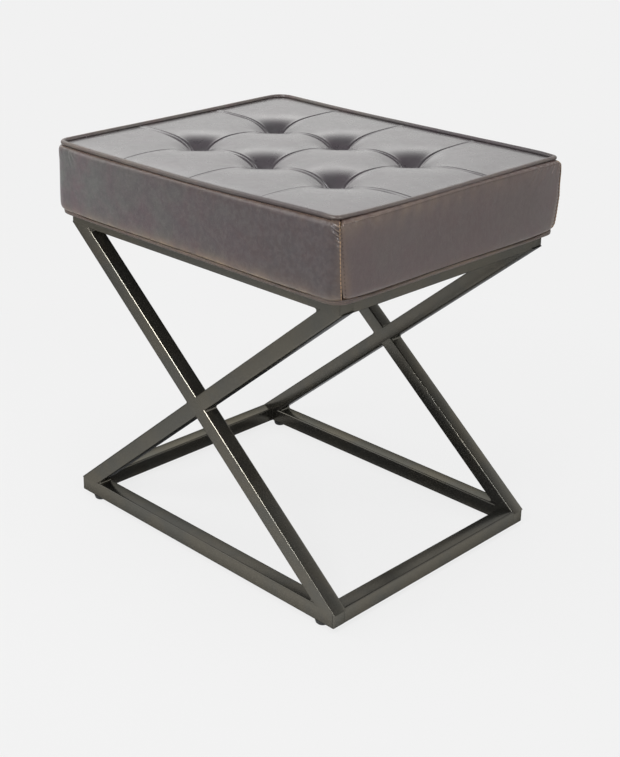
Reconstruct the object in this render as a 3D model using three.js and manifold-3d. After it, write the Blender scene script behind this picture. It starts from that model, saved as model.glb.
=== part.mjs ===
// An X frame stool: a welded frame of square steel tube under a tufted leather seat.
// Millimetres, +Z up. The origin is on the floor below the middle of the seat.
// X runs along the two crossed side frames, and Y from the front frame to the back one.

import * as THREE from "three";
import { mergeVertices } from "three/addons/utils/BufferGeometryUtils.js";
import Module from "manifold-3d";

// Frame
const frameWidth = 460;
const frameDepth = 352;
const frameHeight = 390;
const tubeSize = 20;
const tubeWall = 1.5;
const tubeCornerRadius = 2;
const capThickness = 1.5;
const legSetback = 1;
const tabLeg = 42;
const tabTip = 6;
const tabThickness = 3;
const tabHoleInset = 14;

// Feet
const footHeight = 6;
const footRadius = 9;
const footSoleRadius = 7;
const footShoulder = 1.5;
const footInset = 26;
const footRecessRadius = 4.6;
const footRecessDepth = 3;

// Screws and T-nuts
const glideScrewRadius = 1.8;
const glideScrewLength = 13;
const glideHeadRadius = 4;
const glideHeadHeight = 2;
const glideSlotWidth = 1;
const glideSlotDepth = 0.8;
const seatScrewRadius = 3;
const seatScrewLength = 16;
const seatHeadRadius = 5.5;
const seatHeadHeight = 3.3;
const seatSocketRadius = 2.2;
const seatSocketDepth = 2;
const nutBarrelRadius = 4.4;
const nutBarrelLength = 9;
const nutFlangeRadius = 9;
const nutFlangeThickness = 1.2;

// Seat
const hemOverhangX = 10;
const hemOverhangY = 16;
const hemThickness = 3;
const hemHeight = 5.4;
const hemRadius = 22;
const weltOverhangX = 5;
const weltOverhangY = 16.5;
const weltRadius = 3;
const weltCornerRadius = 15;
const leather = 1.6;
const coverThickness = 0.6;
const coverInset = 6;
const turnUnder = 20;
const boxingHeight = 84;
const boxingBulge = 2.5;
const cornerBulge = 3.5;
const sideDrawIn = 1.2;
const cornerLift = 1;
const boardThickness = 12;

// Tufts
const tuftPitchX = 115.5;
const tuftPitchY = 130;
const tuftColumns = 3;
const tuftRows = 2;
const tuftDepth = 24;
const tuftSpread = 18.5;
const tuftFlat = 6;
const pleatDepth = 1.8;
const pleatEdgeDepth = 0.8;
const pleatRun = 3;
const crownRise = 1.5;
const crownRun = 14;
const panelSink = 1;
const twineRadius = 1.2;
const twineHoleRadius = 2;
const tieTabRadius = 6.5;
const tieTabThickness = 1.2;
const tieWasherRadius = 5;
const tieWasherThickness = 1.5;

// Clearances
const restGap = 0.3;
const boreGap = 0.3;
const foamGap = 0.8;
const overrun = 5;

// Counts of flat sides on round pieces, and of steps round a bent corner.
// The seam step counts from the short side of the seat to the seam of the boxing.
const glideSides = 20;
const fastenerSides = 12;
const socketSides = 6;
const tieSides = 10;
const twineHoleSides = 8;
const weltSides = 6;
const tubeCornerSteps = 3;
const seatCornerSteps = 4;
const seamStep = 1;
const boardCornerSteps = 4;
const tabHoleSteps = 8;

// Heights worked out from the sizes above
const frameTop = footHeight + frameHeight;
const boxingBottom = frameTop + restGap + coverThickness + restGap;
const boardBottom = boxingBottom + leather + restGap;
const boardTop = boardBottom + boardThickness;
const weltHeight = boxingBottom + boxingHeight + restGap + weltRadius;
const panelEdgeHeight = weltHeight - panelSink;
const panelEdgeX = frameWidth / 2 + weltOverhangX - 2 * weltRadius - restGap;
const panelEdgeY = frameDepth / 2 + weltOverhangY - 2 * weltRadius - restGap;
const sideFrameY = (frameDepth - tubeSize) / 2;
const frameMiddle = footHeight + frameHeight / 2;

const kit = await Module();
kit.setup();

// Looks
function look(color, roughness, metalness) {
  return () => new THREE.MeshStandardMaterial({ color, roughness, metalness });
}

const lacquer = look(0x4a4842, 0.45, 0.8);
const zinc = look(0x9a9a98, 0.4, 0.9);
const blackPlastic = look(0x141414, 0.6, 0);
const hide = look(0x3a2c28, 0.45, 0);
const foamRubber = look(0xd8cfa8, 0.9, 0);
const plywood = look(0xb48a5a, 0.8, 0);
const blackCloth = look(0x1c1c1c, 0.95, 0);
const twine = look(0xc8b890, 0.9, 0);

const stool = new THREE.Group();

function addPiece(parent, name, geometry, material) {
  const piece = new THREE.Mesh(geometry, material);
  piece.name = name;
  parent.add(piece);
  return piece;
}

// A closed mesh as a solid that can be joined and cut, and back again.
function toSolid(geometry) {
  const plain = geometry.clone();
  plain.deleteAttribute("normal");
  plain.deleteAttribute("uv");
  const merged = mergeVertices(plain);
  const vertProperties = new Float32Array(merged.attributes.position.array);
  const triVerts = new Uint32Array(merged.index.array);
  return new kit.Manifold(new kit.Mesh({ numProp: 3, vertProperties, triVerts }));
}

function toGeometry(solid) {
  const mesh = solid.getMesh();
  const geometry = new THREE.BufferGeometry();
  geometry.setAttribute("position", new THREE.BufferAttribute(mesh.vertProperties, 3));
  geometry.setIndex(new THREE.BufferAttribute(mesh.triVerts, 1));
  return geometry;
}

// A turned piece from its half profile, with its axis along Z.
function turned(profile, sides) {
  const points = profile.map(([radius, height]) => new THREE.Vector2(radius, height));
  return new THREE.LatheGeometry(points, sides).rotateX(Math.PI / 2);
}

function plug(radius, bottom, top, sides) {
  return turned([[0, bottom], [radius, bottom], [radius, top], [0, top]], sides);
}

function roundedRectangle(path, halfX, halfY, radius) {
  const x = halfX - radius;
  const y = halfY - radius;
  path.absarc(x, y, radius, 0, Math.PI / 2);
  path.absarc(-x, y, radius, Math.PI / 2, Math.PI);
  path.absarc(-x, -y, radius, Math.PI, 1.5 * Math.PI);
  path.absarc(x, -y, radius, 1.5 * Math.PI, 2 * Math.PI);
  path.closePath();
  return path;
}

function box(sizeX, sizeY, sizeZ, x, y, z) {
  return new THREE.BoxGeometry(sizeX, sizeY, sizeZ).translate(x, y, z);
}

// The four corners of the stool, each with its place and its turn about Z.
const corners = [
  { name: "front_left", sideX: -1, sideY: -1, turn: 0 },
  { name: "front_right", sideX: 1, sideY: -1, turn: Math.PI / 2 },
  { name: "back_right", sideX: 1, sideY: 1, turn: Math.PI },
  { name: "back_left", sideX: -1, sideY: 1, turn: 1.5 * Math.PI },
];

// Square tube, centred on its middle with its length along Z.
function squareTube(length) {
  const section = roundedRectangle(new THREE.Shape(), tubeSize / 2, tubeSize / 2, tubeCornerRadius);
  const bore = tubeSize / 2 - tubeWall;
  const hole = new THREE.Path();
  hole.moveTo(-bore, -bore);
  hole.lineTo(-bore, bore);
  hole.lineTo(bore, bore);
  hole.lineTo(bore, -bore);
  hole.closePath();
  section.holes.push(hole);
  const options = { depth: length, bevelEnabled: false, curveSegments: tubeCornerSteps };
  return new THREE.ExtrudeGeometry(section, options).translate(0, 0, -length / 2);
}

// Both legs of a side frame touch opposite corners of the space between its rails.
const legSpanX = frameWidth - 2 * legSetback;
const legSpanZ = frameHeight - 2 * tubeSize;
const legDiagonal = Math.hypot(legSpanX, legSpanZ);
const legTilt = Math.PI / 2 - Math.asin(tubeSize / legDiagonal) - Math.atan2(legSpanZ, legSpanX);

function legBlank(side) {
  return squareTube(legDiagonal + 2 * tubeSize).rotateY(side * legTilt);
}

function betweenRails(lowest, highest) {
  const height = highest - lowest;
  return toSolid(box(frameWidth, frameDepth, height, 0, 0, (highest + lowest) / 2));
}

function crossedLegs() {
  const reach = legSpanZ / 2 - restGap;
  const longLeg = toSolid(legBlank(1)).intersect(betweenRails(-reach, reach));
  const notchSize = tubeSize + 2 * restGap;
  const notch = box(notchSize, tubeSize + 2 * overrun, legDiagonal, 0, 0, 0).rotateY(legTilt);
  const halves = toSolid(legBlank(-1)).subtract(toSolid(notch));
  return {
    long_leg: longLeg,
    upper_half_leg: halves.intersect(betweenRails(0, reach)),
    lower_half_leg: halves.intersect(betweenRails(-reach, 0)),
  };
}

const footX = frameWidth / 2 - footInset;
const railLength = frameWidth - 2 * (capThickness + restGap);

function topRail() {
  return squareTube(railLength).rotateY(Math.PI / 2);
}

function bottomRail() {
  let rail = toSolid(squareTube(railLength).rotateY(Math.PI / 2));
  const floor = -tubeSize / 2;
  for (const side of [-1, 1]) {
    const hole = plug(glideScrewRadius + boreGap, floor - overrun, floor + overrun, fastenerSides);
    rail = rail.subtract(toSolid(hole.translate(side * footX, 0, 0)));
  }
  return toGeometry(rail);
}

function railCap() {
  const section = roundedRectangle(new THREE.Shape(), tubeSize / 2, tubeSize / 2, tubeCornerRadius);
  const options = { depth: capThickness, bevelEnabled: false, curveSegments: tubeCornerSteps };
  return new THREE.ExtrudeGeometry(section, options).rotateY(Math.PI / 2);
}

const railHeight = (frameHeight - tubeSize) / 2;

for (const [face, side] of [["front", -1], ["back", 1]]) {
  const sideFrame = new THREE.Group();
  sideFrame.position.set(0, side * sideFrameY, frameMiddle);
  stool.add(sideFrame);
  addPiece(sideFrame, face + "_top_rail", topRail(), lacquer()).position.z = railHeight;
  addPiece(sideFrame, face + "_bottom_rail", bottomRail(), lacquer()).position.z = -railHeight;
  for (const [name, leg] of Object.entries(crossedLegs())) {
    addPiece(sideFrame, face + "_" + name, toGeometry(leg), lacquer());
  }
  for (const [level, height] of [["top", railHeight], ["bottom", -railHeight]]) {
    for (const [end, place] of [["left", -frameWidth / 2], ["right", frameWidth / 2 - capThickness]]) {
      const cap = addPiece(sideFrame, [face, level, end, "cap"].join("_"), railCap(), lacquer());
      cap.position.set(place, 0, height);
    }
  }
}

// Four stretchers join the side frames, butted to the inner faces of their rails.
const stretcherLength = frameDepth - 2 * (tubeSize + restGap);

for (const [end, side] of [["left", -1], ["right", 1]]) {
  for (const [level, height] of [["top", railHeight], ["bottom", -railHeight]]) {
    const tube = squareTube(stretcherLength);
    const stretcher = addPiece(stool, end + "_" + level + "_stretcher", tube, lacquer());
    stretcher.rotation.x = -Math.PI / 2;
    stretcher.position.set((side * (frameWidth - tubeSize)) / 2, 0, frameMiddle + height);
  }
}

// A welded tab in each corner of the top frame takes one seat screw.
function seatTab() {
  const outline = new THREE.Shape();
  outline.moveTo(0, 0);
  outline.lineTo(tabLeg, 0);
  outline.lineTo(tabLeg, tabTip);
  outline.lineTo(tabTip, tabLeg);
  outline.lineTo(0, tabLeg);
  outline.closePath();
  const hole = new THREE.Path();
  hole.absarc(tabHoleInset, tabHoleInset, seatScrewRadius + boreGap, 0, 2 * Math.PI, true);
  outline.holes.push(hole);
  const options = { depth: tabThickness, bevelEnabled: false, curveSegments: tabHoleSteps };
  return new THREE.ExtrudeGeometry(outline, options);
}

const tabCornerX = frameWidth / 2 - tubeSize - restGap;
const tabCornerY = frameDepth / 2 - tubeSize - restGap;
const seatScrewX = tabCornerX - tabHoleInset;
const seatScrewY = tabCornerY - tabHoleInset;

// A pan head screw with its head below and its shank up along Z from zero.
function screw(shank, length, head, headHeight) {
  return turned([
    [0, -headHeight],
    [head / 2, -headHeight],
    [head, -headHeight / 2],
    [head, 0],
    [shank, 0],
    [shank, length - shank],
    [shank / 2, length],
    [0, length],
  ], fastenerSides);
}

function seatScrew() {
  const shape = screw(seatScrewRadius, seatScrewLength, seatHeadRadius, seatHeadHeight);
  const socketFloor = seatSocketDepth - seatHeadHeight;
  const socket = plug(seatSocketRadius, -seatHeadHeight - overrun, socketFloor, socketSides);
  return toGeometry(toSolid(shape).subtract(toSolid(socket)));
}

function glideScrew() {
  const shape = screw(glideScrewRadius, glideScrewLength, glideHeadRadius, glideHeadHeight);
  const slotHeight = glideSlotDepth + overrun;
  const slotMiddle = glideSlotDepth - glideHeadHeight - slotHeight / 2;
  const slot = box(2 * glideHeadRadius + overrun, glideSlotWidth, slotHeight, 0, 0, slotMiddle);
  return toGeometry(toSolid(shape).subtract(toSolid(slot)));
}

// A glide is a ring with a recess for its screw's head, round at its lower edge.
function glide() {
  const bore = glideScrewRadius + boreGap;
  const top = footHeight - restGap;
  return turned([
    [footRecessRadius, 0],
    [footSoleRadius, 0],
    [(footSoleRadius + footRadius) / 2, (top - footShoulder) / 4],
    [footRadius, top - footShoulder],
    [footRadius, top],
    [bore, top],
    [bore, footRecessDepth],
    [footRecessRadius, footRecessDepth],
    [footRecessRadius, 0],
  ], glideSides);
}

function tNut() {
  const bore = seatScrewRadius + boreGap;
  return turned([
    [bore, -nutBarrelLength],
    [nutBarrelRadius, -nutBarrelLength],
    [nutBarrelRadius, -nutFlangeThickness],
    [nutFlangeRadius, -nutFlangeThickness],
    [nutFlangeRadius, 0],
    [bore, 0],
    [bore, -nutBarrelLength],
  ], fastenerSides);
}

for (const corner of corners) {
  const tab = addPiece(stool, "seat_tab_" + corner.name, seatTab(), lacquer());
  tab.rotation.z = corner.turn;
  tab.position.set(corner.sideX * tabCornerX, corner.sideY * tabCornerY, frameTop - tabThickness);

  const foot = addPiece(stool, "glide_" + corner.name, glide(), blackPlastic());
  foot.position.set(corner.sideX * footX, corner.sideY * sideFrameY, 0);

  const footScrew = addPiece(stool, "glide_screw_" + corner.name, glideScrew(), zinc());
  footScrew.position.set(corner.sideX * footX, corner.sideY * sideFrameY, footRecessDepth - restGap);

  const bolt = addPiece(stool, "seat_screw_" + corner.name, seatScrew(), zinc());
  const boltSeat = frameTop - tabThickness - restGap;
  bolt.position.set(corner.sideX * seatScrewX, corner.sideY * seatScrewY, boltSeat);

  const nut = addPiece(stool, "t_nut_" + corner.name, tNut(), zinc());
  nut.position.set(corner.sideX * seatScrewX, corner.sideY * seatScrewY, boardTop);
}

// The places of the tufts, three along X and two along Y.
const tuftXs = Array.from({ length: tuftColumns }, (_, i) => (i - (tuftColumns - 1) / 2) * tuftPitchX);
const tuftYs = Array.from({ length: tuftRows }, (_, i) => (i - (tuftRows - 1) / 2) * tuftPitchY);

// The seat's corners stand a little higher than the middles of its sides.
function liftAt(x, y) {
  return cornerLift * Math.min(1, Math.abs(x / panelEdgeX) ** 4 * Math.abs(y / panelEdgeY) ** 4);
}

// Height of the leather top: a low crown, a deep dimple at each tuft and pleats along the lines of tufts.
function topHeight(x, y) {
  const inX = Math.max(0, panelEdgeX - Math.abs(x));
  const inY = Math.max(0, panelEdgeY - Math.abs(y));
  const crown = (1 - Math.exp(-inX / crownRun)) * (1 - Math.exp(-inY / crownRun));
  let height = panelEdgeHeight + liftAt(x, y) + crownRise * crown;
  const offLineX = Math.min(...tuftXs.map((tuftX) => Math.abs(x - tuftX)));
  const offLineY = Math.min(...tuftYs.map((tuftY) => Math.abs(y - tuftY)));
  const pleat = pleatEdgeDepth + (pleatDepth - pleatEdgeDepth) * crown;
  height -= pleat * Math.exp(-Math.min(offLineX, offLineY) / pleatRun);
  for (const tuftX of tuftXs) {
    for (const tuftY of tuftYs) {
      const away = Math.max(0, Math.hypot(x - tuftX, y - tuftY) - tuftFlat);
      height -= (tuftDepth - pleatDepth) * Math.exp(-away / tuftSpread);
    }
  }
  return height;
}

// Grid lines of the top: every cell between tufts or edges is divided by the same shares.
const cellShares = [0, 0.09, 0.28, 0.5, 0.72, 0.91];

function gridLines(edge, tufts) {
  const stops = [-edge, ...tufts, edge];
  const lines = [];
  for (let i = 0; i + 1 < stops.length; i += 1) {
    for (const share of cellShares) {
      lines.push(stops[i] + share * (stops[i + 1] - stops[i]));
    }
  }
  return [...lines, edge];
}

const columns = gridLines(panelEdgeX, tuftXs);
const rows = gridLines(panelEdgeY, tuftYs);
const panelCornerRadius = weltCornerRadius - 2 * weltRadius;
const cornerCut = panelCornerRadius * (1 - Math.SQRT1_2);

// The edge is cut at its corners and drawn in between them, as the welt is.
function gridPoint(i, j, drop) {
  const shareX = columns[i] / panelEdgeX;
  const shareY = rows[j] / panelEdgeY;
  const cut = Math.abs(shareX) === 1 && Math.abs(shareY) === 1 ? cornerCut : 0;
  const pullX = cut + sideDrawIn * Math.abs(shareX) ** 3 * Math.cos((Math.PI / 2) * shareY) ** 2;
  const pullY = cut + sideDrawIn * Math.abs(shareY) ** 3 * Math.cos((Math.PI / 2) * shareX) ** 2;
  const x = columns[i] - Math.sign(shareX) * pullX;
  const y = rows[j] - Math.sign(shareY) * pullY;
  return new THREE.Vector3(x, y, topHeight(x, y) - drop);
}

// Grid places round the edge of the top, counter-clockwise from above.
function rimPlaces() {
  const lastColumn = columns.length - 1;
  const lastRow = rows.length - 1;
  const upTo = (last) => Array.from({ length: last }, (_, i) => i);
  const downFrom = (last) => upTo(last).map((i) => last - i);
  return [
    ...upTo(lastColumn).map((i) => [i, 0]),
    ...upTo(lastRow).map((j) => [lastColumn, j]),
    ...downFrom(lastColumn).map((i) => [i, lastRow]),
    ...downFrom(lastRow).map((j) => [0, j]),
  ];
}

// Collects points and faces of one closed mesh.
class Skin {
  constructor() {
    this.points = [];
    this.faces = [];
  }

  add(point) {
    this.points.push(point.x, point.y, point.z);
    return this.points.length / 3 - 1;
  }

  quad(a, b, c, d) {
    this.faces.push(a, b, c, a, c, d);
  }

  // Joins two rings of the same length; the second lies further along.
  bridge(first, second, closed) {
    const count = closed ? first.length : first.length - 1;
    for (let i = 0; i < count; i += 1) {
      const next = (i + 1) % first.length;
      this.quad(first[i], first[next], second[next], second[i]);
    }
  }

  geometry() {
    const geometry = new THREE.BufferGeometry();
    geometry.setAttribute("position", new THREE.Float32BufferAttribute(this.points, 3));
    geometry.setIndex(this.faces);
    return geometry;
  }
}

function addTopGrid(skin, drop) {
  return columns.map((_, i) => rows.map((__, j) => skin.add(gridPoint(i, j, drop))));
}

function faceGrid(skin, grid, upwards) {
  for (let i = 0; i + 1 < columns.length; i += 1) {
    for (let j = 0; j + 1 < rows.length; j += 1) {
      const [a, b, c, d] = [grid[i][j], grid[i + 1][j], grid[i + 1][j + 1], grid[i][j + 1]];
      if (upwards) {
        skin.quad(a, b, c, d);
      } else {
        skin.quad(a, d, c, b);
      }
    }
  }
}

function topPanel() {
  const skin = new Skin();
  const upper = addTopGrid(skin, 0);
  const lower = addTopGrid(skin, leather);
  faceGrid(skin, upper, true);
  faceGrid(skin, lower, false);
  const rim = rimPlaces();
  skin.bridge(rim.map(([i, j]) => lower[i][j]), rim.map(([i, j]) => upper[i][j]), true);
  return skin.geometry();
}

// The seat's outline at a share of the boxing's height, from its turned-in bottom to the welt.
// The boxing bulges most at its corners.
const levelShares = [0, 0.02, 0.06, 0.2, 0.5, 0.8, 0.96, 1];
const bulgeShares = [0, 0, 0.8, 1, 1, 1, 0.8, 0];
const drawInShares = [0, 0, 0, 0.3, 1, 1, 1, 1];

function levelAt(k) {
  const share = levelShares[k];
  const between = (low, high) => low + share * (high - low);
  const bulge = bulgeShares[k] * (boxingBulge + cornerBulge);
  const hemInside = hemThickness + restGap;
  const bottomX = frameWidth / 2 + hemOverhangX - hemInside;
  const bottomY = frameDepth / 2 + hemOverhangY - hemInside;
  const topX = frameWidth / 2 + weltOverhangX - panelSink;
  const topY = frameDepth / 2 + weltOverhangY - panelSink;
  return {
    share,
    halfX: between(bottomX, topX) + bulge,
    halfY: between(bottomY, topY) + bulge,
    radius: between(hemRadius - hemInside, weltCornerRadius),
    height: boxingBottom + share * boxingHeight,
    drawIn: drawInShares[k] * sideDrawIn + bulgeShares[k] * cornerBulge,
  };
}

// The boxing's long panels wrap round the corners, so the seams lie at the ends of the short panels.
// Side 0 faces +X, 1 faces +Y, 2 faces -X and 3 faces -Y.
function arcSteps(side) {
  return side % 2 === 0 ? seamStep : seatCornerSteps - seamStep;
}

// The stops along one side of an outline, from one seam to the next.
const straightShares = [0.12, 0.28, 0.5, 0.72, 0.88];

function sideStops(side) {
  const arcShares = Array.from({ length: arcSteps(side) + 1 }, (_, i) => i / arcSteps(side));
  const before = arcShares.map((share) => ({ part: "first", share: 1 - share }));
  const along = straightShares.map((share) => ({ part: "straight", share }));
  const after = arcShares.map((share) => ({ part: "last", share }));
  return [...before, ...along, ...after];
}

// A point of an outline at one stop of a side. A gap keeps it off the seam.
function outlinePoint(level, inset, side, stop, gap) {
  const halfX = level.halfX - inset;
  const halfY = level.halfY - inset;
  const radius = Math.max(level.radius - inset, restGap);
  const [reach, run] = side % 2 === 0 ? [halfX, halfY] : [halfY, halfX];
  const straight = run - radius;
  let out = reach;
  let along = -straight + 2 * straight * stop.share;
  if (stop.part === "straight") {
    out -= level.drawIn * Math.sin(Math.PI * stop.share) ** 2;
  } else {
    const end = stop.part === "first" ? -1 : 1;
    const angle = (Math.PI / 2) * (arcSteps(side) / seatCornerSteps) * stop.share;
    const kept = stop.share === 1 ? gap : 0;
    out = reach - radius + radius * Math.cos(angle) + kept * Math.sin(angle);
    along = end * (straight + radius * Math.sin(angle) - kept * Math.cos(angle));
  }
  const turn = (side * Math.PI) / 2;
  const x = out * Math.cos(turn) - along * Math.sin(turn);
  const y = out * Math.sin(turn) + along * Math.cos(turn);
  return new THREE.Vector3(x, y, level.height + level.share * liftAt(x, y));
}

// One side of the boxing: a bulged wall that turns in under the board.
const sideNames = ["right", "back", "left", "front"];

function boxingPanel(side) {
  const levels = levelShares.map((_, k) => levelAt(k));
  const bottom = levels[0];
  const flange = { ...bottom, height: bottom.height + leather };
  const section = [
    ...levels.map((level) => [level, 0]).reverse(),
    [bottom, turnUnder],
    [flange, turnUnder],
    [flange, leather],
    ...levels.slice(2).map((level) => [level, leather]),
  ];
  const skin = new Skin();
  const rings = sideStops(side).map((stop) =>
    section.map(([level, inset]) => skin.add(outlinePoint(level, inset, side, stop, restGap / 2))));
  for (let i = 0; i + 1 < rings.length; i += 1) {
    skin.bridge(rings[i], rings[i + 1], true);
  }
  const flat = section.map(([level, inset]) => new THREE.Vector2(level.halfX - inset, level.height));
  for (const [a, b, c] of THREE.ShapeUtils.triangulateShape(flat, [])) {
    const first = rings[0];
    const last = rings[rings.length - 1];
    skin.faces.push(first[a], first[b], first[c], last[a], last[c], last[b]);
  }
  return skin.geometry();
}

// A ring round the seat with the section given as outward and upward offsets.
function seatRing(level, section) {
  const skin = new Skin();
  const rings = [];
  for (const side of [0, 1, 2, 3]) {
    for (const stop of sideStops(side).slice(1)) {
      rings.push(section.map(([out, up]) => {
        const point = outlinePoint(level, -out, side, stop, 0);
        point.z += up;
        return skin.add(point);
      }));
    }
  }
  rings.forEach((ring, i) => skin.bridge(ring, rings[(i + 1) % rings.length], true));
  return skin.geometry();
}

function topWelt() {
  const level = {
    share: 1,
    halfX: frameWidth / 2 + weltOverhangX - weltRadius,
    halfY: frameDepth / 2 + weltOverhangY - weltRadius,
    radius: weltCornerRadius - weltRadius,
    height: weltHeight,
    drawIn: sideDrawIn,
  };
  const section = Array.from({ length: weltSides }, (_, i) => {
    const angle = (-2 * Math.PI * i) / weltSides;
    return [weltRadius * Math.cos(angle), weltRadius * Math.sin(angle)];
  });
  return seatRing(level, section);
}

function bottomHem() {
  const level = {
    share: 0,
    halfX: frameWidth / 2 + hemOverhangX,
    halfY: frameDepth / 2 + hemOverhangY,
    radius: hemRadius,
    height: boxingBottom + levelShares[1] * boxingHeight - restGap,
    drawIn: 0,
  };
  const edge = hemThickness / 3;
  return seatRing(level, [
    [0, -edge],
    [0, edge - hemHeight],
    [-edge, -hemHeight],
    [-hemThickness, -hemHeight],
    [-hemThickness, 0],
    [-edge, 0],
  ]);
}

// A point of the foam's side at one level, inside the leather and its rounded corners.
function foamPoint(level, shareX, shareY, height) {
  const radius = level.radius - leather;
  const halfX = level.halfX - leather - foamGap - level.drawIn * Math.cos((Math.PI / 2) * shareY) ** 2;
  const halfY = level.halfY - leather - foamGap - level.drawIn * Math.cos((Math.PI / 2) * shareX) ** 2;
  const [x, y] = [Math.abs(shareX) * halfX, Math.abs(shareY) * halfY];
  const pastX = Math.max(0, x - halfX + radius);
  const pastY = Math.max(0, y - halfY + radius);
  const cut = 1 - Math.min(1, radius / Math.hypot(pastX, pastY));
  const [insideX, insideY] = [x - cut * pastX, y - cut * pastY];
  return new THREE.Vector3(Math.sign(shareX) * insideX, Math.sign(shareY) * insideY, height);
}

// Foam that fills the leather, with a hole and a seat for each tuft tie.
function seatFoam() {
  const skin = new Skin();
  const upper = addTopGrid(skin, leather + restGap);
  faceGrid(skin, upper, true);
  let ring = rimPlaces().map(([i, j]) => upper[i][j]);
  const levels = [5, 4, 3].map(levelAt);
  for (const level of levels) {
    const height = level === levels[2] ? boardTop + restGap : level.height;
    const below = rimPlaces().map(([i, j]) =>
      skin.add(foamPoint(level, columns[i] / panelEdgeX, rows[j] / panelEdgeY, height)));
    skin.bridge(below, ring, true);
    ring = below;
  }
  const middle = skin.add(new THREE.Vector3(0, 0, boardTop + restGap));
  ring.forEach((index, i) => skin.faces.push(middle, ring[(i + 1) % ring.length], index));
  let foam = toSolid(skin.geometry());
  for (const tuftX of tuftXs) {
    for (const tuftY of tuftYs) {
      const floor = topHeight(tuftX, tuftY) - leather - tieTabThickness - 3 * restGap;
      const hole = toSolid(plug(twineHoleRadius, boardTop - overrun, floor + overrun, twineHoleSides));
      const seat = toSolid(plug(tieTabRadius + boreGap, floor, floor + tuftDepth, tieSides));
      foam = foam.subtract(hole.add(seat).translate([tuftX, tuftY, 0]));
    }
  }
  return toGeometry(foam);
}

// A tuft tie: a sewn tab under the leather, twine through foam and board, and a washer below.
function tuftTie(tuftX, tuftY) {
  const top = topHeight(tuftX, tuftY) - leather - restGap;
  const bottom = boardBottom - restGap;
  return turned([
    [0, bottom - tieWasherThickness],
    [tieWasherRadius, bottom - tieWasherThickness],
    [tieWasherRadius, bottom],
    [twineRadius, bottom],
    [twineRadius, top - tieTabThickness],
    [tieTabRadius, top - tieTabThickness],
    [tieTabRadius, top],
    [0, top],
  ], tieSides);
}

// Plywood board with holes for the ties and stepped holes for the T-nuts.
const boardHalfX = levelAt(0).halfX - leather - restGap;
const boardHalfY = levelAt(0).halfY - leather - restGap;

function seatBoard() {
  const radius = levelAt(0).radius - leather;
  const outline = roundedRectangle(new THREE.Shape(), boardHalfX, boardHalfY, radius);
  for (const tuftX of tuftXs) {
    for (const tuftY of tuftYs) {
      const hole = new THREE.Path();
      hole.absarc(tuftX, tuftY, twineHoleRadius, 0, 2 * Math.PI, true);
      outline.holes.push(hole);
    }
  }
  const options = { depth: boardThickness, bevelEnabled: false, curveSegments: boardCornerSteps };
  let board = toSolid(new THREE.ExtrudeGeometry(outline, options));
  const above = boardThickness + overrun;
  const pocketFloor = boardThickness - nutFlangeThickness - restGap;
  const barrel = plug(nutBarrelRadius + boreGap, -overrun, above, fastenerSides);
  const pocket = plug(nutFlangeRadius + boreGap, pocketFloor, above, fastenerSides);
  const stepped = toSolid(barrel).add(toSolid(pocket));
  for (const corner of corners) {
    board = board.subtract(stepped.translate([corner.sideX * seatScrewX, corner.sideY * seatScrewY, 0]));
  }
  return toGeometry(board);
}

function dustCover() {
  const halfX = boardHalfX - coverInset;
  const halfY = boardHalfY - coverInset;
  const outline = roundedRectangle(new THREE.Shape(), halfX, halfY, hemRadius - coverInset);
  for (const corner of corners) {
    const hole = new THREE.Path();
    const radius = seatScrewRadius + boreGap;
    hole.absarc(corner.sideX * seatScrewX, corner.sideY * seatScrewY, radius, 0, 2 * Math.PI, true);
    outline.holes.push(hole);
  }
  const options = { depth: coverThickness, bevelEnabled: false, curveSegments: boardCornerSteps };
  return new THREE.ExtrudeGeometry(outline, options);
}

addPiece(stool, "dust_cover", dustCover(), blackCloth()).position.z = frameTop + restGap;
addPiece(stool, "seat_board", seatBoard(), plywood()).position.z = boardBottom;
addPiece(stool, "seat_foam", seatFoam(), foamRubber());
addPiece(stool, "top_panel", topPanel(), hide());
addPiece(stool, "top_welt", topWelt(), hide());
addPiece(stool, "bottom_hem", bottomHem(), hide());
sideNames.forEach((name, side) => addPiece(stool, "boxing_" + name, boxingPanel(side), hide()));

let tieCount = 0;
for (const tuftY of tuftYs) {
  for (const tuftX of tuftXs) {
    tieCount += 1;
    addPiece(stool, "tuft_tie_" + tieCount, tuftTie(tuftX, tuftY), twine()).position.set(tuftX, tuftY, 0);
  }
}

export default stool;
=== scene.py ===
import math
import bpy
import numpy as np
from mathutils import Matrix, Vector


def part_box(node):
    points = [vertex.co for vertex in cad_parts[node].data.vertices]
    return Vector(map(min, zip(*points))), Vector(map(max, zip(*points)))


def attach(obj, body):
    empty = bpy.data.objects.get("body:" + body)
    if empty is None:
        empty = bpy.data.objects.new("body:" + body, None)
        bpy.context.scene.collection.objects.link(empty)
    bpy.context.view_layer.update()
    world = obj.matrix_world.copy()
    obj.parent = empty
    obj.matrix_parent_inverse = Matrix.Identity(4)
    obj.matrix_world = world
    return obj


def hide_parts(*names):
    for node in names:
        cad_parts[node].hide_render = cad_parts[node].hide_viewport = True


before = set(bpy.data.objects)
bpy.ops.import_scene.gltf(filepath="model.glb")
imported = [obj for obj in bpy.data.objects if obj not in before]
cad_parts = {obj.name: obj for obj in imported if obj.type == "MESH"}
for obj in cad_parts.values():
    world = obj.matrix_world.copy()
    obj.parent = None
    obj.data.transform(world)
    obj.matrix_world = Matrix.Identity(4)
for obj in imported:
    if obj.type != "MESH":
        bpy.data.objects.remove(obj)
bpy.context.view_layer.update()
print("Frame loaded:", len(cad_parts), "solids")


# Camera: the photograph's viewing angle, in degrees and metres

cameraSettings = {
    "azimuth": 44.125,
    "elevation": 18.182,
    "roll": 0.954,
    "distance": 1.69394,
    "aimHeight": 0.24,
    "aimRight": 0.00986,
    "aimUp": 0.09863,
    "lens": 64.066,
    "shiftY": -0.15654,
}


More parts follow.
